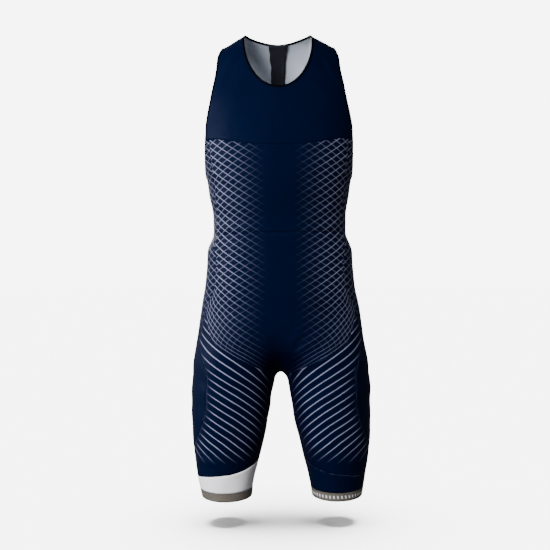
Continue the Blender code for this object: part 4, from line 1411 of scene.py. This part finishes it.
@dataclass
class Repeat:
    """A Geometry Nodes tree that repeats a small form along lines, standing on their surface.

    The lines are loose edges with an `out` vector at each point.
    """

    name: str
    inputs: dict[str, float]
    form: Callable[[Any, Any], Any]

    def tree(self) -> Any:
        """The node tree, made once."""
        if self.name in bpy.data.node_groups:
            return bpy.data.node_groups[self.name]
        tree = bpy.data.node_groups.new(self.name, "GeometryNodeTree")
        kinds = {"Geometry": "Geometry", **dict.fromkeys(self.inputs, "Float")}
        kinds["Material"] = "Material"
        for name, kind in kinds.items():
            tree.interface.new_socket(name, in_out="INPUT", socket_type=f"NodeSocket{kind}")
        tree.interface.new_socket("Geometry", in_out="OUTPUT", socket_type="NodeSocketGeometry")
        node, turned = partial(add_node, tree), "FunctionNodeAlignRotationToVector"
        given = node("NodeGroupInput").node.outputs
        curve = node("GeometryNodeMeshToCurve", {"Mesh": given["Geometry"]})
        spacing = {"Curve": curve, "Length": given["Pitch"]}
        even = node("GeometryNodeResampleCurve", spacing, mode="LENGTH")
        out = node(
            "GeometryNodeInputNamedAttribute", {"Name": "out"}, "Attribute",
            data_type="FLOAT_VECTOR",
        )
        along = node("GeometryNodeInputTangent")
        up = node(turned, {"Vector": out}, axis="Z")
        facing = node(turned, {"Rotation": up, "Vector": along}, axis="X", pivot_axis="Z")
        placed = node(
            "GeometryNodeInstanceOnPoints",
            {"Points": even, "Instance": self.form(node, given), "Rotation": facing},
        )
        real = node("GeometryNodeRealizeInstances", {"Geometry": placed})
        covered = {"Geometry": real, "Material": given["Material"]}
        dressed = node("GeometryNodeSetMaterial", covered)
        node("NodeGroupOutput", {"Geometry": dressed})
        return tree

    def along(self, name: str, lines: Sequence[tuple[Array, Array]], finish: Finish) -> Any:
        """The finished mesh of the form repeated along lines.

        Args:
            name: the mesh's name.
            lines: points and outward directions of each line.
            finish: what it is made of.

        Returns:
            A plain mesh.
        """
        points, outs = (np.concatenate(values) for values in zip(*lines))
        edges, start = [], 0
        for line, _ in lines:
            edges += [(start + i, start + i + 1) for i in range(len(line) - 1)]
            start += len(line)
        mesh = bpy.data.meshes.new(name)
        mesh.from_pydata(points.tolist(), edges, [])
        ways = mesh.attributes.new("out", "FLOAT_VECTOR", "POINT")
        ways.data.foreach_set("vector", outs.ravel())
        holder = add_object(name, mesh)
        modifier = holder.modifiers.new(self.name, "NODES")
        modifier.node_group = self.tree()
        values = {**self.inputs, "Material": finished(finish)}
        for item in modifier.node_group.interface.items_tree:
            if item.in_out == "INPUT" and item.name in values:
                modifier[item.identifier] = values[item.name]
        holder.update_tag()
        graph = bpy.context.evaluated_depsgraph_get()
        result = bpy.data.meshes.new_from_object(holder.evaluated_get(graph))
        bpy.data.objects.remove(holder, do_unlink=True)
        result.name = name
        result.materials.clear()
        return result


# A ball of few faces and a block, both of half width 1
BALL = ("GeometryNodeMeshIcoSphere", {"Radius": 1.0, "Subdivisions": 1})
BLOCK = ("GeometryNodeMeshCube", {"Size": (2.0, 2.0, 2.0)})
# Half of a stitch's length, as a share of the way to the next one
STITCH_SHARE = 0.42


def scaled(
    node: Any, solid: tuple[str, dict[str, Any]], size: tuple[Any, Any, Any],
    place: tuple[Any, Any, Any] = (0.0, 0.0, 0.0), turn: Any = 0.0,
) -> Any:
    """A unit solid stretched to a half size, turned about its upright and set at a place."""
    stretch, shift, rotation = (
        node(COMBINE, values) for values in (size, place, (0.0, 0.0, turn))
    )
    sized = node(PLACED, {"Geometry": node(*solid), "Scale": stretch})
    return node(PLACED, {"Geometry": sized, "Rotation": rotation, "Translation": shift})


def flatlock_form(node: Any, given: Any) -> Any:
    """Two rows of needle thread with a slanting thread between them."""
    pitch, thick, spread = given["Pitch"], given["Thread"], given["Spread"]
    length, run = (node(MATH + "MULTIPLY", [pitch, share]) for share in (STITCH_SHARE, 0.5))
    low = node(MATH + "MULTIPLY", [spread, -1.0])
    rows = [scaled(node, BALL, (length, thick, thick), (0.0, at, 0.0)) for at in (spread, low)]
    turn = node(MATH + "ARCTAN2", [spread, run])
    squares = [node(MATH + "MULTIPLY", [side, side]) for side in (run, spread)]
    reach = node(MATH + "SQRT", [node(MATH + "ADD", squares)])
    thin = node(MATH + "MULTIPLY", [thick, 0.75])
    slanting = scaled(node, BALL, (reach, thin, thin), (run, 0.0, 0.0), turn)
    return node("GeometryNodeJoinGeometry", {0: rows + [slanting]})


def single_form(node: Any, given: Any) -> Any:
    """One stitch in a straight row."""
    length = node(MATH + "MULTIPLY", [given["Pitch"], STITCH_SHARE])
    return scaled(node, BALL, (length, given["Thread"], given["Thread"]))


def tooth_form(node: Any, given: Any) -> Any:
    """A pair of teeth, one from each tape, whose heads meet in the middle of the chain."""
    parts = []
    height = given["Height"]
    for side in (1.0, -1.0):
        shift, thick, head = (
            node(MATH + "MULTIPLY", [given["Pitch"], share])
            for share in (0.25 * side, 0.2, 0.29)
        )
        arm, root = (
            node(MATH + "MULTIPLY", [given["Reach"], share]) for share in (0.46, 0.54 * side)
        )
        parts.append(scaled(node, BLOCK, (thick, arm, height), (shift, root, 0.0)))
        parts.append(scaled(node, BALL, (head, head, height), (shift, 0.0, 0.0)))
    return node("GeometryNodeJoinGeometry", {0: parts})


def rib_form(node: Any, given: Any) -> Any:
    """One rib across the pull tab's grip."""
    return scaled(node, BLOCK, (given["Width"], given["Reach"], given["Height"]))


@dataclass
class Seams:
    """The flatlock seams between the panels, and the straight stitching on bindings and zip."""

    cloth: Cloth
    bindings: Bindings
    flatlock: Repeat = field(default_factory=lambda: Repeat(
        "flatlock_seam", {"Pitch": 0.0034, "Thread": 0.00028, "Spread": 0.0024}, flatlock_form
    ))
    single: Repeat = field(default_factory=lambda: Repeat(
        "straight_stitching", {"Pitch": 0.0028, "Thread": 0.00022}, single_form
    ))
    lift: float = 0.00058
    # Points of a seam nearer than this to the one before are left out
    least_step: float = 1e-5
    # A seam's threads stop this far from an edge that a binding folds over
    short_of_binding: float = 0.0062

    def __post_init__(self) -> None:
        """Finds the bound edges, where the seams' threads stop."""
        edges = [chain for chain, _ in self.bindings.edges().values()]
        self.bound = self.cloth.points[np.concatenate(edges)]

    def on_cloth(self, chain: Array) -> tuple[Array, Array]:
        """A line on the cloth's outer face."""
        points, normals = self.cloth.points[chain], self.cloth.normals[chain]
        steps = np.linalg.norm(np.diff(points, axis=0), axis=1)
        keep = np.concatenate([[True], steps > self.least_step])
        to_edge = np.linalg.norm(points[:, None] - self.bound[None], axis=2).min(axis=1)
        keep &= to_edge > self.short_of_binding
        return (points + normals * self.lift)[keep], normals[keep]

    def across_leg(self, zone: str, face: int, side: int) -> Array:
        """The line along the top of one of the leg's zones."""
        return self.cloth.line(zone, face, side, row=0, span=INNER)

    def navy_lines(self) -> tuple[list[Array], list[Array]]:
        """The seams sewn with navy thread: those of the body and those of the legs, whose thread
        is drawn pale as painted highlight.
        """
        line = self.cloth.line
        body, legs = [], []
        for side in SIDES:
            body += [
                line("bib", FRONT, side, row=ROWS["bib"], span=(NECK_COLUMNS, COLUMNS)),
                line("midriff", FRONT, side, row=0),
                line("midriff", BACK, side, row=0, span=BESIDE),
            ]
            below_tip = (INSET_TIP_ROW, ROWS["leg"])
            legs += [
                line("leg", FRONT, side, column=0),
                line("leg", FRONT, side, column=FRONT_COLUMNS, span=below_tip),
            ]
            for face in FACES:
                body.append(self.across_leg("lower", face, side))
                for zone in ("midriff", "lower"):
                    body.append(line(zone, face, side, column=FRONT_COLUMNS))
                legs.append(self.across_leg("leg", face, side))
                beside_inset = (0, INSET_TIP_ROW)
                legs.append(line("leg", face, side, column=FRONT_COLUMNS, span=beside_inset))
                if side == LEFT:
                    legs.append(self.across_leg("band", face, side))
        return body, legs

    def build(self, zip_lines: Sequence[tuple[Array, Array]]) -> None:
        """Makes every line of sewing.

        Args:
            zip_lines: the rows of stitches beside the zip.
        """
        body, legs = self.navy_lines()
        white = [self.across_leg("band", face, RIGHT) for face in FACES]
        grey = [self.across_leg("gripper", face, side) for face in FACES for side in SIDES]
        for name, chains, thread, slot in (
            ("body_seams", body, Finish.NAVY_THREAD, "knit"),
            ("leg_seams", legs, Finish.HIGHLIGHT_THREAD, "knit"),
            # Painted highlight: the leg seams' thread is coloured pale
            ("white_band_seams", white, Finish.WHITE_THREAD, "knit_white"),
            ("gripper_seams", grey, Finish.GREY_THREAD, "gripper"),
        ):
            self.add(name, self.flatlock, [self.on_cloth(chain) for chain in chains], thread, slot)
        rows = self.bindings.stitch_lines()
        self.add("binding_stitches", self.single, rows, Finish.BLACK_THREAD, "binding")
        self.add("zip_stitches", self.single, zip_lines, Finish.NAVY_THREAD, "knit")

    @staticmethod
    def add(name: str, repeat: Repeat, lines: Sequence[Any], finish: Finish, slot: str) -> None:
        """One mesh of sewing."""
        link_piece(name, repeat.along(name, lines, finish), (finish,), slot)


# ---- the zip

def round_outline(
    half_x: float, half_y: float, radius: float, middle: float = 0.0, arc: int = 5, side: int = 6
) -> Array:
    """A rectangle with round corners, anticlockwise.

    Args:
        half_x: half its width.
        half_y: half its length.
        radius: its corners' radius.
        middle: where its middle lies along Y.
        arc: points round each corner.
        side: points between two corners.

    Returns:
        Points as x and y.
    """
    found: list[Array] = []
    for i, (right, up) in enumerate(((1, 1), (-1, 1), (-1, -1), (1, -1))):
        centre = np.array((right * (half_x - radius), middle + up * (half_y - radius)))
        turns = (i + np.linspace(0.0, 1.0, arc)) * math.pi / 2
        found += [centre + radius * np.array((math.cos(turn), math.sin(turn))) for turn in turns]
    corners = np.array(found).reshape(4, arc, 2)
    pieces = []
    for i in range(4):
        between = np.linspace(corners[i][-1], corners[(i + 1) % 4][0], side + 2)[1:-1]
        pieces += [corners[i], between]
    return np.concatenate(pieces)


def inset(outline: Array, by: float) -> Array:
    """An anticlockwise outline moved inwards."""
    ahead = unit(np.roll(outline, -1, axis=0) - np.roll(outline, 1, axis=0))
    return outline + by * np.stack([-ahead[:, 1], ahead[:, 0]], axis=1)


def plate_rings(
    outline: Array, low: float, high: float, edge: float, hole: Array | None = None
) -> list[Array]:
    """The rings of a flat plate with eased edges, followed by those of its hole.

    Args:
        outline: the plate's outline.
        low: the height of its underside.
        high: the height of its top.
        edge: how far its edges are eased.
        hole: the outline of its hole, or None.

    Returns:
        The rings.
    """
    heights = [low, low + edge, high - edge, high]
    slim = inset(outline, edge)
    levels = list(zip((slim, outline, outline, slim), heights))
    if hole is not None:
        wide = inset(hole, -edge)
        levels += zip((wide, hole, hole, wide), reversed(heights))
    return [np.column_stack([shape, np.full(len(shape), z)]) for shape, z in levels]


def arch_path(half: float, low: float, top: float, radius: float) -> Array:
    """Up one leg, over the top and down the other, with round corners."""
    rise = [(-half, low)]
    for turn in np.linspace(0.0, math.pi / 2, 5):
        across = -half + radius - radius * math.cos(turn)
        rise.append((across, top - radius + radius * math.sin(turn)))
    return np.array(rise + [(-across, up) for across, up in reversed(rise)])


def strap_rings(path: Array, half_width: float, half_thick: float) -> list[Array]:
    """The rings of a flat strap bent along a path in Y and Z, with X across it."""
    section = round_outline(half_width, half_thick, half_thick * 0.7, arc=3, side=1)
    along = unit(np.gradient(path, axis=0))
    x, thick = section.T
    return [
        np.column_stack([x, point[0] - thick * run[1], point[1] + thick * run[0]])
        for point, run in zip(path, along)
    ]


@dataclass
class BackZip:
    """A black zip down the centre back, from the neckline to the waist, with a guard inside."""

    form: SuitForm
    # Depth under the cloth's middle and thickness of the tapes and of the guard
    tape: tuple[float, float] = (0.0013, 0.0010)
    guard: tuple[float, float] = (0.0029, 0.0014)
    # Where the tapes and the guard start below the neckline, and where they end above the waist
    tape_start: float = 0.0048
    guard_start: float = -0.0004
    strip_end: float = 0.0003
    # A strip's rounded edge, and its points across each face
    strip_edge: float = 0.0004
    strip_points: int = 9
    tape_gap: float = 0.00015
    tape_half: float = 0.0140
    guard_top_half: float = 0.0200
    guard_low_half: float = 0.0150
    guard_fade: float = 0.060
    guard_rise: float = 0.0044
    # How far the guard's two edges wander, and how far its face does
    guard_wander: tuple[float, float, float] = (0.0008, 0.0007, 0.0004)
    # The chain starts this far below the slider, and its teeth stand this far out
    chain_gap: float = 0.0004
    chain_lift: float = 0.0001
    slider_drop: float = 0.0130
    plate_half: tuple[float, float] = (0.0042, 0.0055)
    plate_low: float = 0.0010
    plate_top: float = 0.0030
    # Where the plate narrows to its foot, and by what share
    foot: tuple[float, float, float] = (0.002, -0.0055, 0.24)
    wedge_half: tuple[float, float] = (0.0028, 0.0049)
    # The arches of slider and stop: half length, foot, top and bend, and half the metal's section
    arch: tuple[float, float, float, float] = (0.00275, -0.0005, 0.0030, 0.0013)
    arch_metal: tuple[float, float] = (0.0015, 0.0006)
    staple: tuple[float, float, float, float] = (0.0024, -0.0006, 0.0016, 0.0009)
    staple_metal: tuple[float, float] = (0.0018, 0.0004)
    pivot_rise: float = 0.0012
    tab_half: tuple[float, float] = (0.0037, 0.0150)
    tab_half_thick: float = 0.0007
    tab_lean: float = math.radians(4)
    # How far the tab reaches over its pivot, and the place, reach and share of its waist
    tab_over: float = 0.0008
    tab_waist: tuple[float, float, float] = (-0.0088, 0.0032, 0.2)
    # Half width, half length and middle of the tab's hole and of its grip
    hole: tuple[float, float, float] = (0.0020, 0.0022, -0.0030)
    grip: tuple[float, float, float] = (0.0029, 0.0070, -0.0206)
    grip_half_thick: float = 0.0003
    ribs_from: float = -0.0152
    ribs_to: float = -0.0262
    stop_drop: float = 0.0036
    # The stitches beside the slot: their start and end, how far aside and how far out
    stitches: tuple[float, float, float, float] = (0.006, 0.002, 0.0062, 0.0009)
    teeth: Repeat = field(default_factory=lambda: Repeat(
        "zip_teeth", {"Pitch": 0.0020, "Reach": 0.0025, "Height": 0.0013}, tooth_form
    ))
    ribs: Repeat = field(default_factory=lambda: Repeat(
        "grip_ribs", {"Pitch": 0.0014, "Width": 0.0003, "Reach": 0.0021, "Height": 0.0003},
        rib_form,
    ))

    def __post_init__(self) -> None:
        """Measures the line down the centre back, from the neckline to the waist seam."""
        self.line = self.surface(0.0, np.linspace(SHOULDER_TOP_Z - BACK_NECK_DROP, WAIST_Z, 400))
        rows = np.arange(ROWS["bib"], 0, -1.0) / ROWS["bib"]
        bib = self.form.bib(rows, 0 * rows, BACK)
        rows = np.arange(ROWS["midriff"] + 1.0)
        midriff = self.surface(0.0, self.form.midriff_z(rows, 0 * rows))
        self.chords = np.concatenate([bib, midriff])

    @property
    def length(self) -> float:
        """How long the centre back is."""
        return float(distances(self.line)[-1])

    def surface(self, x: Array | float, z: Array) -> Array:
        """Points on the back, beside its centre line."""
        found = self.form.point(self.form.angle_across(x, z), z, BACK)
        found[..., 0] = x
        return found

    def places(
        self, start: float, end: float, step: float = 0.004
    ) -> tuple[Array, Array, Array]:
        """Points down the centre back.

        Args:
            start: how far along it the first one is.
            end: how far the last one is.
            step: about how far apart they are.

        Returns:
            The points, with the way up the back and the way out of it at each.
        """
        at = np.linspace(start, end, int((end - start) / step))
        drops = distances(self.line)
        points = np.stack([np.interp(at, drops, self.line[:, i]) for i in range(3)], axis=1)
        up = -unit(np.gradient(points, axis=0))
        return points, up, np.cross(up, (1.0, 0.0, 0.0))

    def frame_at(self, drop: float) -> Matrix:
        """Axes on the chords of the centre back: Y up the zip and Z out of it."""
        drops = distances(self.chords)
        i = min(int(np.searchsorted(drops, drop, side="right")) - 1, len(self.chords) - 2)
        up = unit(self.chords[i] - self.chords[i + 1])
        out = np.cross(up, (1.0, 0.0, 0.0))
        point = self.chords[i] - up * (drop - drops[i])
        turned = Matrix(np.stack([np.cross(up, out), up, out], axis=1).tolist())
        return Matrix.Translation(point) @ turned.to_4x4()

    def build(self) -> dict[str, Any]:
        """Makes every part of the zip, by the CAD node that each replaces."""
        body = self.frame_at(self.slider_drop)
        pivot = body @ Matrix.Translation((0.0, 0.0, self.plate_top + self.pivot_rise))
        made = {
            f"zip_tape_{name}": self.add_tape(side, name) for side, name in SIDE_NAMES.items()
        }
        made["zip_guard"] = self.add_guard()
        self.add_chain()
        self.add_slider(body)
        self.add_tab(pivot @ Matrix.Rotation(self.tab_lean, 4, "X"))
        self.add_stop()
        return made

    def strip(
        self, places: tuple[Array, Array, Array], low: Array, high: Array,
        depth: tuple[Array | float, float],
    ) -> tuple[list[Array], Array]:
        """The rings of a strip of cloth under the back, and its cut coordinates.

        Args:
            places: the centre back's points and directions.
            low: where the strip starts across, at each point.
            high: where it ends.
            depth: how far its outer face is under the cloth's middle, and its thickness.

        Returns:
            The rings, and across and along for each of their points.
        """
        points, _, outs = places
        along = distances(points)
        top, thickness = depth
        top = np.broadcast_to(top, len(points))
        edge, count = self.strip_edge, self.strip_points
        share = np.concatenate([[0.5], np.zeros(count), [0.5], np.ones(count)])
        rings, cut = [], []
        for i, (point, out) in enumerate(zip(points, outs)):
            face = np.linspace(low[i] + edge, high[i] - edge, count)
            across = np.concatenate([[low[i]], face, [high[i]], face[::-1]])
            sunk = share * thickness + top[i]
            level = self.surface(across, np.full(len(across), point[2]))
            rings.append(level - sunk[:, None] * out)
            cut.append(np.column_stack([across, np.full(len(across), along[i])]))
        return rings, np.concatenate(cut)

    def add_strip(
        self, node: str, rings: list[Array], cut: Array, finish: Finish, slot: str
    ) -> Any:
        """A strip of cloth in place of its node."""
        mesh = solid_mesh(node + "_cloth", [(rings, False)])
        corners = np.zeros(len(mesh.loops), dtype=np.int32)
        mesh.loops.foreach_get("vertex_index", corners)
        corner_uv(mesh, cut[corners])
        return link_piece(mesh.name, mesh, (finish,), slot, node)

    def add_tape(self, side: int, name: str) -> Any:
        """One tape, sewn under the edge of the slot."""
        places = self.places(self.tape_start, self.length - self.strip_end)
        inner = np.full(len(places[0]), self.tape_gap)
        outer = np.full(len(inner), self.tape_half)
        low, high = (inner, outer) if side == LEFT else (-outer, -inner)
        rings, cut = self.strip(places, low, high, self.tape)
        return self.add_strip(f"zip_tape_{name}", rings, cut, Finish.TAPE, "zip_tape")

    def add_guard(self) -> Any:
        """The black strip inside the zip, wider at the neck, with edges that wander a little."""
        places = self.places(self.guard_start, self.length - self.strip_end, 0.003)
        along = distances(places[0])
        share = np.minimum(1.0, along / self.guard_fade)
        half = self.guard_top_half + (self.guard_low_half - self.guard_top_half) * share
        right, left, face = self.guard_wander
        low = -half - right * np.sin(along * 210.0) * np.sin(along * 37.0)
        high = half + left * np.sin(along * 160.0 + 1.0) * np.sin(along * 41.0 + 2.0)
        depth = self.guard[0] + face * (1 + np.sin(along * 130.0))
        rings, cut = self.strip(places, low, high, (depth, self.guard[1]))
        rings[0] = rings[0] + places[1][0] * self.guard_rise
        return self.add_strip("zip_guard", rings, cut, Finish.GUARD, "zip_guard")

    def add_chain(self) -> None:
        """The closed teeth, from the slider down to the stop."""
        start = self.slider_drop + self.plate_half[1] + self.chain_gap
        points, _, outs = self.places(start, self.length - 2 * self.stop_drop)
        line = (points + outs * self.chain_lift, outs)
        mesh = self.teeth.along("zip_teeth", [line], Finish.TEETH)
        link_piece("zip_teeth", mesh, (Finish.TEETH,), "zip_plastic", "zip_chain", sharp=True)

    def shield(self, half_x: float, half_y: float, radius: float) -> Array:
        """An outline that narrows towards its foot."""
        shape = round_outline(half_x, half_y, radius)
        start, end, share = self.foot
        shape[:, 0] *= 1 - share * smoothstep(start, end, shape[:, 1])
        return shape

    def add_slider(self, body: Matrix) -> None:
        """The slider: a plate with a rim, the wedge in the slot and the arch for the tab."""
        (half_x, half_y), low, top = self.plate_half, self.plate_low, self.plate_top
        half, foot, rise, bend = self.arch
        plate = plate_rings(
            self.shield(half_x, half_y, 0.0019), low + 0.0011, top - 0.0003, 0.0003
        )
        rim = plate_rings(
            self.shield(half_x - 0.0002, half_y - 0.0002, 0.0018), top - 0.0006, top, 0.0002,
            self.shield(half_x - 0.0010, half_y - 0.0010, 0.0012),
        )
        wedge = plate_rings(self.shield(*self.wedge_half, 0.0012), -0.0007, low + 0.0014, 0.0002)
        arch = strap_rings(arch_path(half, top + foot, top + rise, bend), *self.arch_metal)
        parts = [(plate, False), (rim, True), (wedge, False), (arch, False)]
        mesh = solid_mesh("zip_slider_cast", parts, body)
        link_piece(mesh.name, mesh, (Finish.METAL,), "zip_metal", "zip_slider", sharp=True)

    def add_tab(self, place: Matrix) -> None:
        """The pull tab: a flat loop through the arch, a waist, and a grip with ribs."""
        (half_x, half_y), thick = self.tab_half, self.tab_half_thick
        outline = round_outline(half_x, half_y, 0.0022, middle=self.tab_over - half_y, side=10)
        waist_y, reach, share = self.tab_waist
        outline[:, 0] *= 1 - share * np.exp(-(((outline[:, 1] - waist_y) / reach) ** 2))
        hole = round_outline(*self.hole[:2], 0.0012, middle=self.hole[2], side=10)
        loop = plate_rings(outline, -thick, thick, 0.00035, hole)
        shape = round_outline(*self.grip[:2], 0.0016, middle=self.grip[2])
        pad = plate_rings(
            shape, thick - self.grip_half_thick, thick + self.grip_half_thick, 0.0002
        )
        mesh = solid_mesh("zip_pull_tab_moulded", [(loop, True), (pad, False)], place)
        link_piece(
            mesh.name, mesh, (Finish.RUBBER,), "zip_plastic", "zip_pull_tab", TAB, sharp=True
        )
        rows = np.linspace(self.ribs_from, self.ribs_to, 9)
        ends = [place @ Vector((0.0, y, thick + 0.0004)) for y in rows]
        out = place.to_3x3() @ Vector((0.0, 0.0, 1.0))
        line = (np.array(ends), np.tile(np.array(out), (len(ends), 1)))
        name = "zip_pull_tab_ribs"
        mesh = self.ribs.along(name, [line], Finish.RUBBER)
        link_piece(name, mesh, (Finish.RUBBER,), "zip_plastic", body=TAB, sharp=True)

    def add_stop(self) -> None:
        """The bottom stop: a metal staple pressed over both rows of teeth."""
        place = self.frame_at(self.length - self.stop_drop)
        rings = strap_rings(arch_path(*self.staple), *self.staple_metal)
        rings = [ring[:, (1, 0, 2)] for ring in rings]
        mesh = solid_mesh("zip_bottom_stop_staple", [(rings, False)], place)
        link_piece(mesh.name, mesh, (Finish.METAL,), "zip_metal", "zip_bottom_stop", sharp=True)

    def stitch_lines(self) -> list[tuple[Array, Array]]:
        """The rows of topstitching beside the slot."""
        start, end, aside, lift = self.stitches
        points, _, outs = self.places(start, self.length - end)
        rows = []
        for side in SIDES:
            beside = self.surface(np.full(len(points), aside), points[:, 2])
            beside[:, 0] *= side
            rows.append((beside + outs * lift, outs))
        return rows


# ---- the studio

@dataclass(frozen=True)
class Softbox:
    """A square soft light that faces the suit's middle."""

    name: str
    place: tuple[float, float, float]
    size: float
    energy: float
    glossy: bool = True


SOFTBOXES = (
    Softbox("key", (-1.3, -2.2, 0.4), 1.2, 150.0, glossy=False),
    Softbox("side", (-2.3, -0.3, 0.0), 0.9, 50.0),
    Softbox("fill", (1.5, -2.4, 0.0), 1.5, 5.0),
    Softbox("side_right", (2.4, 0.7, 0.1), 1.2, 16.0, glossy=False),
    Softbox("back_left", (-1.2, 2.4, 0.5), 1.2, 45.0),
    Softbox("back_right", (0.8, 2.5, 0.3), 1.3, 90.0, glossy=False),
)


@dataclass
class Studio:
    """A plain white floor and surroundings, soft lights and the camera."""

    floor_z: float = -1.0085
    floor_reach: float = 40.0
    # The overhead sun's strength and its angle across, which sets how soft the shadow is
    sun: tuple[float, float] = (22.0, math.radians(44))
    distance: float = 2.1
    centre: tuple[float, float] = (-0.0105, -0.489)
    lens: float = 65.5
    sensor: float = 36.0
    roll: float = math.radians(0.5)
    # The surroundings' strength to the camera, and to everything that they light
    seen: float = 7.0
    lit: float = 0.10

    def build(self) -> None:
        """Adds everything."""
        floor = self.add_floor()
        for box in SOFTBOXES:
            self.add_light(box, floor)
        self.add_floor_light(floor)
        self.add_world()
        self.add_camera()

    def add_world(self) -> None:
        """White surroundings, brighter to look at than the light they give."""
        world = bpy.data.worlds.new("white_room")
        world.use_nodes = True
        tree = world.node_tree
        looking = add_node(tree, "ShaderNodeLightPath", output="Is Camera Ray")
        background = tree.nodes["Background"].inputs
        background["Color"].default_value = linear("#FFFFFF")
        values = [looking, self.seen - self.lit, self.lit]
        strength = add_node(tree, MATH + "MULTIPLY_ADD", values)
        tree.links.new(strength, background["Strength"])
        bpy.context.scene.world = world

    def add_floor(self) -> Any:
        """A large white floor, which throws no light back on the suit."""
        mesh = bpy.data.meshes.new("floor")
        reach = self.floor_reach
        corners = [(-reach, -reach), (reach, -reach), (reach, reach), (-reach, reach)]
        mesh.from_pydata([(x, y, self.floor_z) for x, y in corners], [], [(0, 1, 2, 3)])
        floor = add_object("floor", mesh)
        paint = Material("white_floor", 0.9, Specular_IOR_Level=0.0, Base_Color=linear("#FAFAFA"))
        mesh.materials.append(paint.made)
        floor.visible_diffuse = floor.visible_glossy = False
        return floor

    def add_light(self, box: Softbox, floor: Any) -> None:
        """A softbox, which lights everything but the floor."""
        data = bpy.data.lights.new(box.name, "AREA")
        data.shape, data.size, data.energy = "SQUARE", box.size, box.energy
        light = add_object(box.name, data)
        light.location = box.place
        light.visible_glossy = box.glossy
        toward = Vector((0.0, 0.0, self.centre[1])) - Vector(box.place)
        light.rotation_euler = toward.to_track_quat("-Z", "Y").to_euler()
        self.link_to_floor(light, floor).light_linking.link_state = "EXCLUDE"

    def add_floor_light(self, floor: Any) -> None:
        """A wide light from overhead that lights the floor alone."""
        data = bpy.data.lights.new("floor_light", "SUN")
        data.energy, data.angle = self.sun
        self.link_to_floor(add_object("floor_light", data), floor)

    @staticmethod
    def link_to_floor(light: Any, floor: Any) -> Any:
        """The link between a light and the floor alone, which may be turned to leave it out."""
        receivers = bpy.data.collections.new(light.name + "_floor")
        receivers.objects.link(floor)
        light.light_linking.receiver_collection = receivers
        return receivers.collection_objects[0]

    def add_camera(self) -> None:
        """The camera, straight in front and rolled by a trace."""
        data = bpy.data.cameras.new("camera")
        data.lens, data.sensor_width = self.lens, self.sensor
        camera = add_object("camera", data)
        camera.location = (self.centre[0], -self.distance, self.centre[1])
        camera.rotation_euler = (math.pi / 2, self.roll, 0.0)
        bpy.context.scene.camera = camera


def main() -> None:
    """Builds the suit's looks in order."""
    logging.basicConfig(level=logging.INFO, format="%(message)s")
    form = SuitForm()
    cloth, back_zip = Cloth(form), BackZip(form)
    bindings = Bindings(cloth)
    panels, folds = cloth.build(), bindings.build()
    Seams(cloth, bindings).build(back_zip.stitch_lines())
    strips = back_zip.build()
    cloth.declare(panels, {
        "chest_panel": list(folds.values()),
        "back_panel_left": [strips["zip_tape_left"], strips["zip_guard"]],
        "back_panel_right": [strips["zip_tape_right"]],
    })
    Studio().build()


if __name__ == "__main__":
    main()
